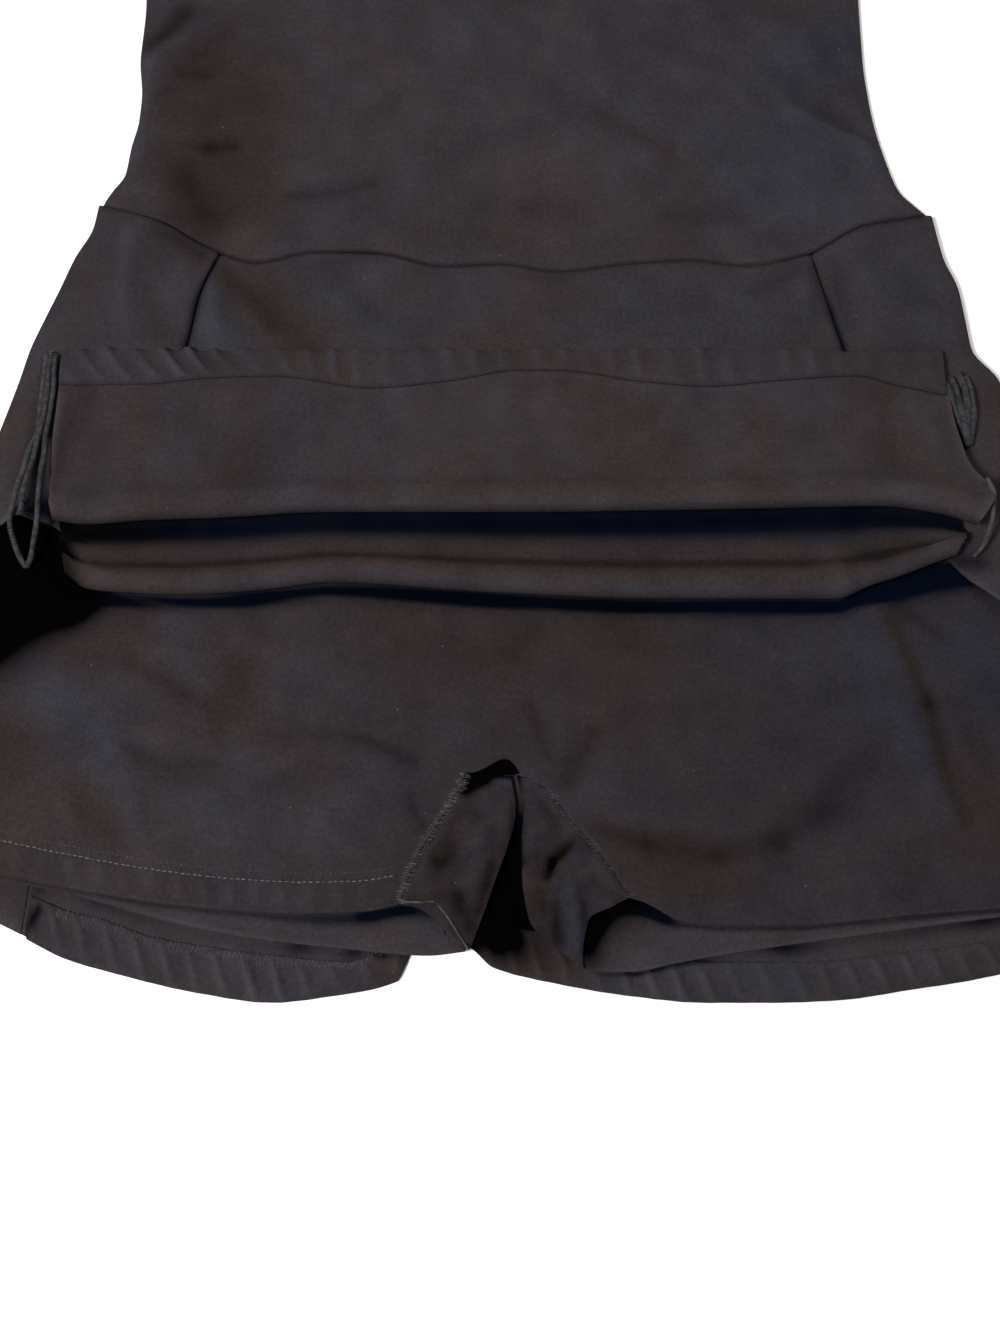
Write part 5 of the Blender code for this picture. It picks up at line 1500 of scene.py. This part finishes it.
def flatlock(side, seed, shift):
    # The seam between a leg and its gusset: thread crossing back and forth over it.
    draw = np.random.default_rng(seed)
    sign = 1 if side == "left" else -1
    seam, hem = shorts["frontInseam"][side], shorts["frontHem" + side.title()]
    count = int(sewing["inseam"] / sewing["flatlockPitch"])
    v = np.linspace(0.01, 0.99, 2 * count)
    reach = np.tile([-1.0, 1.0], count) * draw.uniform(0.5, 1.1, 2 * count)
    x = curveAt(seam, v) + shift + reach * sewing["flatlockWidth"] / 2
    y = mix(shorts["crotchY"], curveAt(hem, seam[-1][1]), v) + draw.uniform(-0.5, 0.5, 2 * count)
    inward = (x - curveAt(seam, v)) * sign
    onGusset = gussetShape(side)(np.clip(inward / 20, 0.02, 1), v)[2]
    z = np.where(inward > 0, onGusset, shortsFrontHeight(x, y))
    return np.stack([x, y, z + wall / 2 + draw.uniform(0.1, 0.5, 2 * count)], axis=1)


def backOverlock(lift, *rows):
    # Rows of zigzag up to the back hem's edge: low end, stitches, seed, from and to along it.
    return [
        zigzag(backHemShape, low, 1.0, count, seed, lift, span) for low, count, seed, span in rows
    ]


stitchRows = [
    (
        "left_leg_hem_stitches", paleThread,
        dashes(legHemLine(shorts["hemRow"], *sewing["legHem"]), 1), 0.52, 1,
    ),
    (
        "left_leg_hem_upper_stitches", softEdge,
        dashes(legHemLine(shorts["upperRow"], *sewing["legHem"]), 2, 2.2, 1.2), 0.5, 1,
    ),
    (
        "front_hem_overlock", seamThread,
        [zigzag(frontHemShape, 0.9, 1.05, int(424 / sewing["overlockPitch"]), 7)],
        sewing["overlockThread"], 0,
    ),
    (
        "back_hem_left_overlock", paleThread,
        backOverlock(0.1, (0.74, 110, 8, (0.03, 0.435)), (0.84, 84, 9, (0.04, 0.43))), 0.28, 0,
    ),
    (
        "back_hem_right_overlock", seamThread,
        backOverlock(0.05, (0.8, 124, 10, (0.54, 0.99)), (0.88, 96, 11, (0.55, 0.98))), 0.24, 0,
    ),
    (
        "left_inseam_flatlock", paleThread,
        [flatlock("left", seed, shift) for seed, shift in ((15, -0.6), (16, 0.1), (17, 0.6))],
        0.3, 0,
    ),
    (
        "right_inseam_flatlock", wornThread,
        [flatlock("right", seed, shift) for seed, shift in ((18, 0.6), (19, -0.5))], 0.28, 0,
    ),
]
for name, look, runs, thick, resolution in stitchRows:
    buildThread(name, look, runs, thick, resolution)
print("sewing done")


# Floor, light and camera

stageLook = {
    "floor": (0.97, 0.955, 0.945, 1), "keyPower": 38.0, "keySize": 0.42, "warmPower": 9.0,
    "fillPower": 8.0, "world": (0.86, 0.92, 1.0), "worldStrength": 0.22,
}
floorGrid = bmesh.new()
bmesh.ops.create_grid(floorGrid, x_segments=1, y_segments=1, size=6)
floorData = bpy.data.meshes.new("floor")
floorGrid.to_mesh(floorData)
floorGrid.free()
for vert in floorData.vertices:
    vert.co.z = -0.0003
floorLook = bpy.data.materials.new("floor_paper")
floorLook.use_nodes = True
floorShader = floorLook.node_tree.nodes["Principled BSDF"]
floorShader.inputs["Base Color"].default_value = stageLook["floor"]
floorShader.inputs["Roughness"].default_value = 0.95
floorData.materials.append(floorLook)
floor = bpy.data.objects.new("floor", floorData)
bpy.context.scene.collection.objects.link(floor)


def softLight(name, power, size, place, target, colour):
    data = bpy.data.lights.new(name, "AREA")
    data.energy, data.size, data.color = power, size, colour
    light = bpy.data.objects.new(name, data)
    light.location = place
    light.rotation_mode = "QUATERNION"
    light.rotation_quaternion = (Vector(target) - Vector(place)).to_track_quat("-Z", "Y")
    bpy.context.scene.collection.objects.link(light)


softLight(
    "key", stageLook["keyPower"], stageLook["keySize"], (-0.8, -0.8, 1.45), (0, -0.15, 0),
    (0.98, 0.985, 1.0),
)
softLight(
    "warm", stageLook["warmPower"], 0.6, (1.2, 0.45, 1.0), (0, -0.25, 0), (1.0, 0.95, 0.91)
)
softLight(
    "fill", stageLook["fillPower"], 1.2, (-0.2, 1.2, 1.5), (0, -0.2, 0), (1.0, 0.98, 0.96)
)
world = bpy.data.worlds.new("studio")
world.use_nodes = True
background = world.node_tree.nodes["Background"]
background.inputs["Color"].default_value = (*stageLook["world"], 1)
background.inputs["Strength"].default_value = stageLook["worldStrength"]
bpy.context.scene.world = world
bpy.context.scene.view_settings.view_transform = "Standard"

viewpoint = {"target": (0, -0.2765, 0), "distance": 0.852, "elevation": 72.0, "lens": 50.0}
cameraData = bpy.data.cameras.new("camera")
cameraData.lens, cameraData.sensor_width = viewpoint["lens"], 36.0
cameraData.clip_start = 0.01
camera = bpy.data.objects.new("camera", cameraData)
tilt = math.radians(viewpoint["elevation"])
back = Vector((0, -math.cos(tilt), math.sin(tilt)))
camera.location = Vector(viewpoint["target"]) + back * viewpoint["distance"]
camera.rotation_mode = "QUATERNION"
camera.rotation_quaternion = (-back).to_track_quat("-Z", "Y")
bpy.context.scene.collection.objects.link(camera)
bpy.context.scene.camera = camera
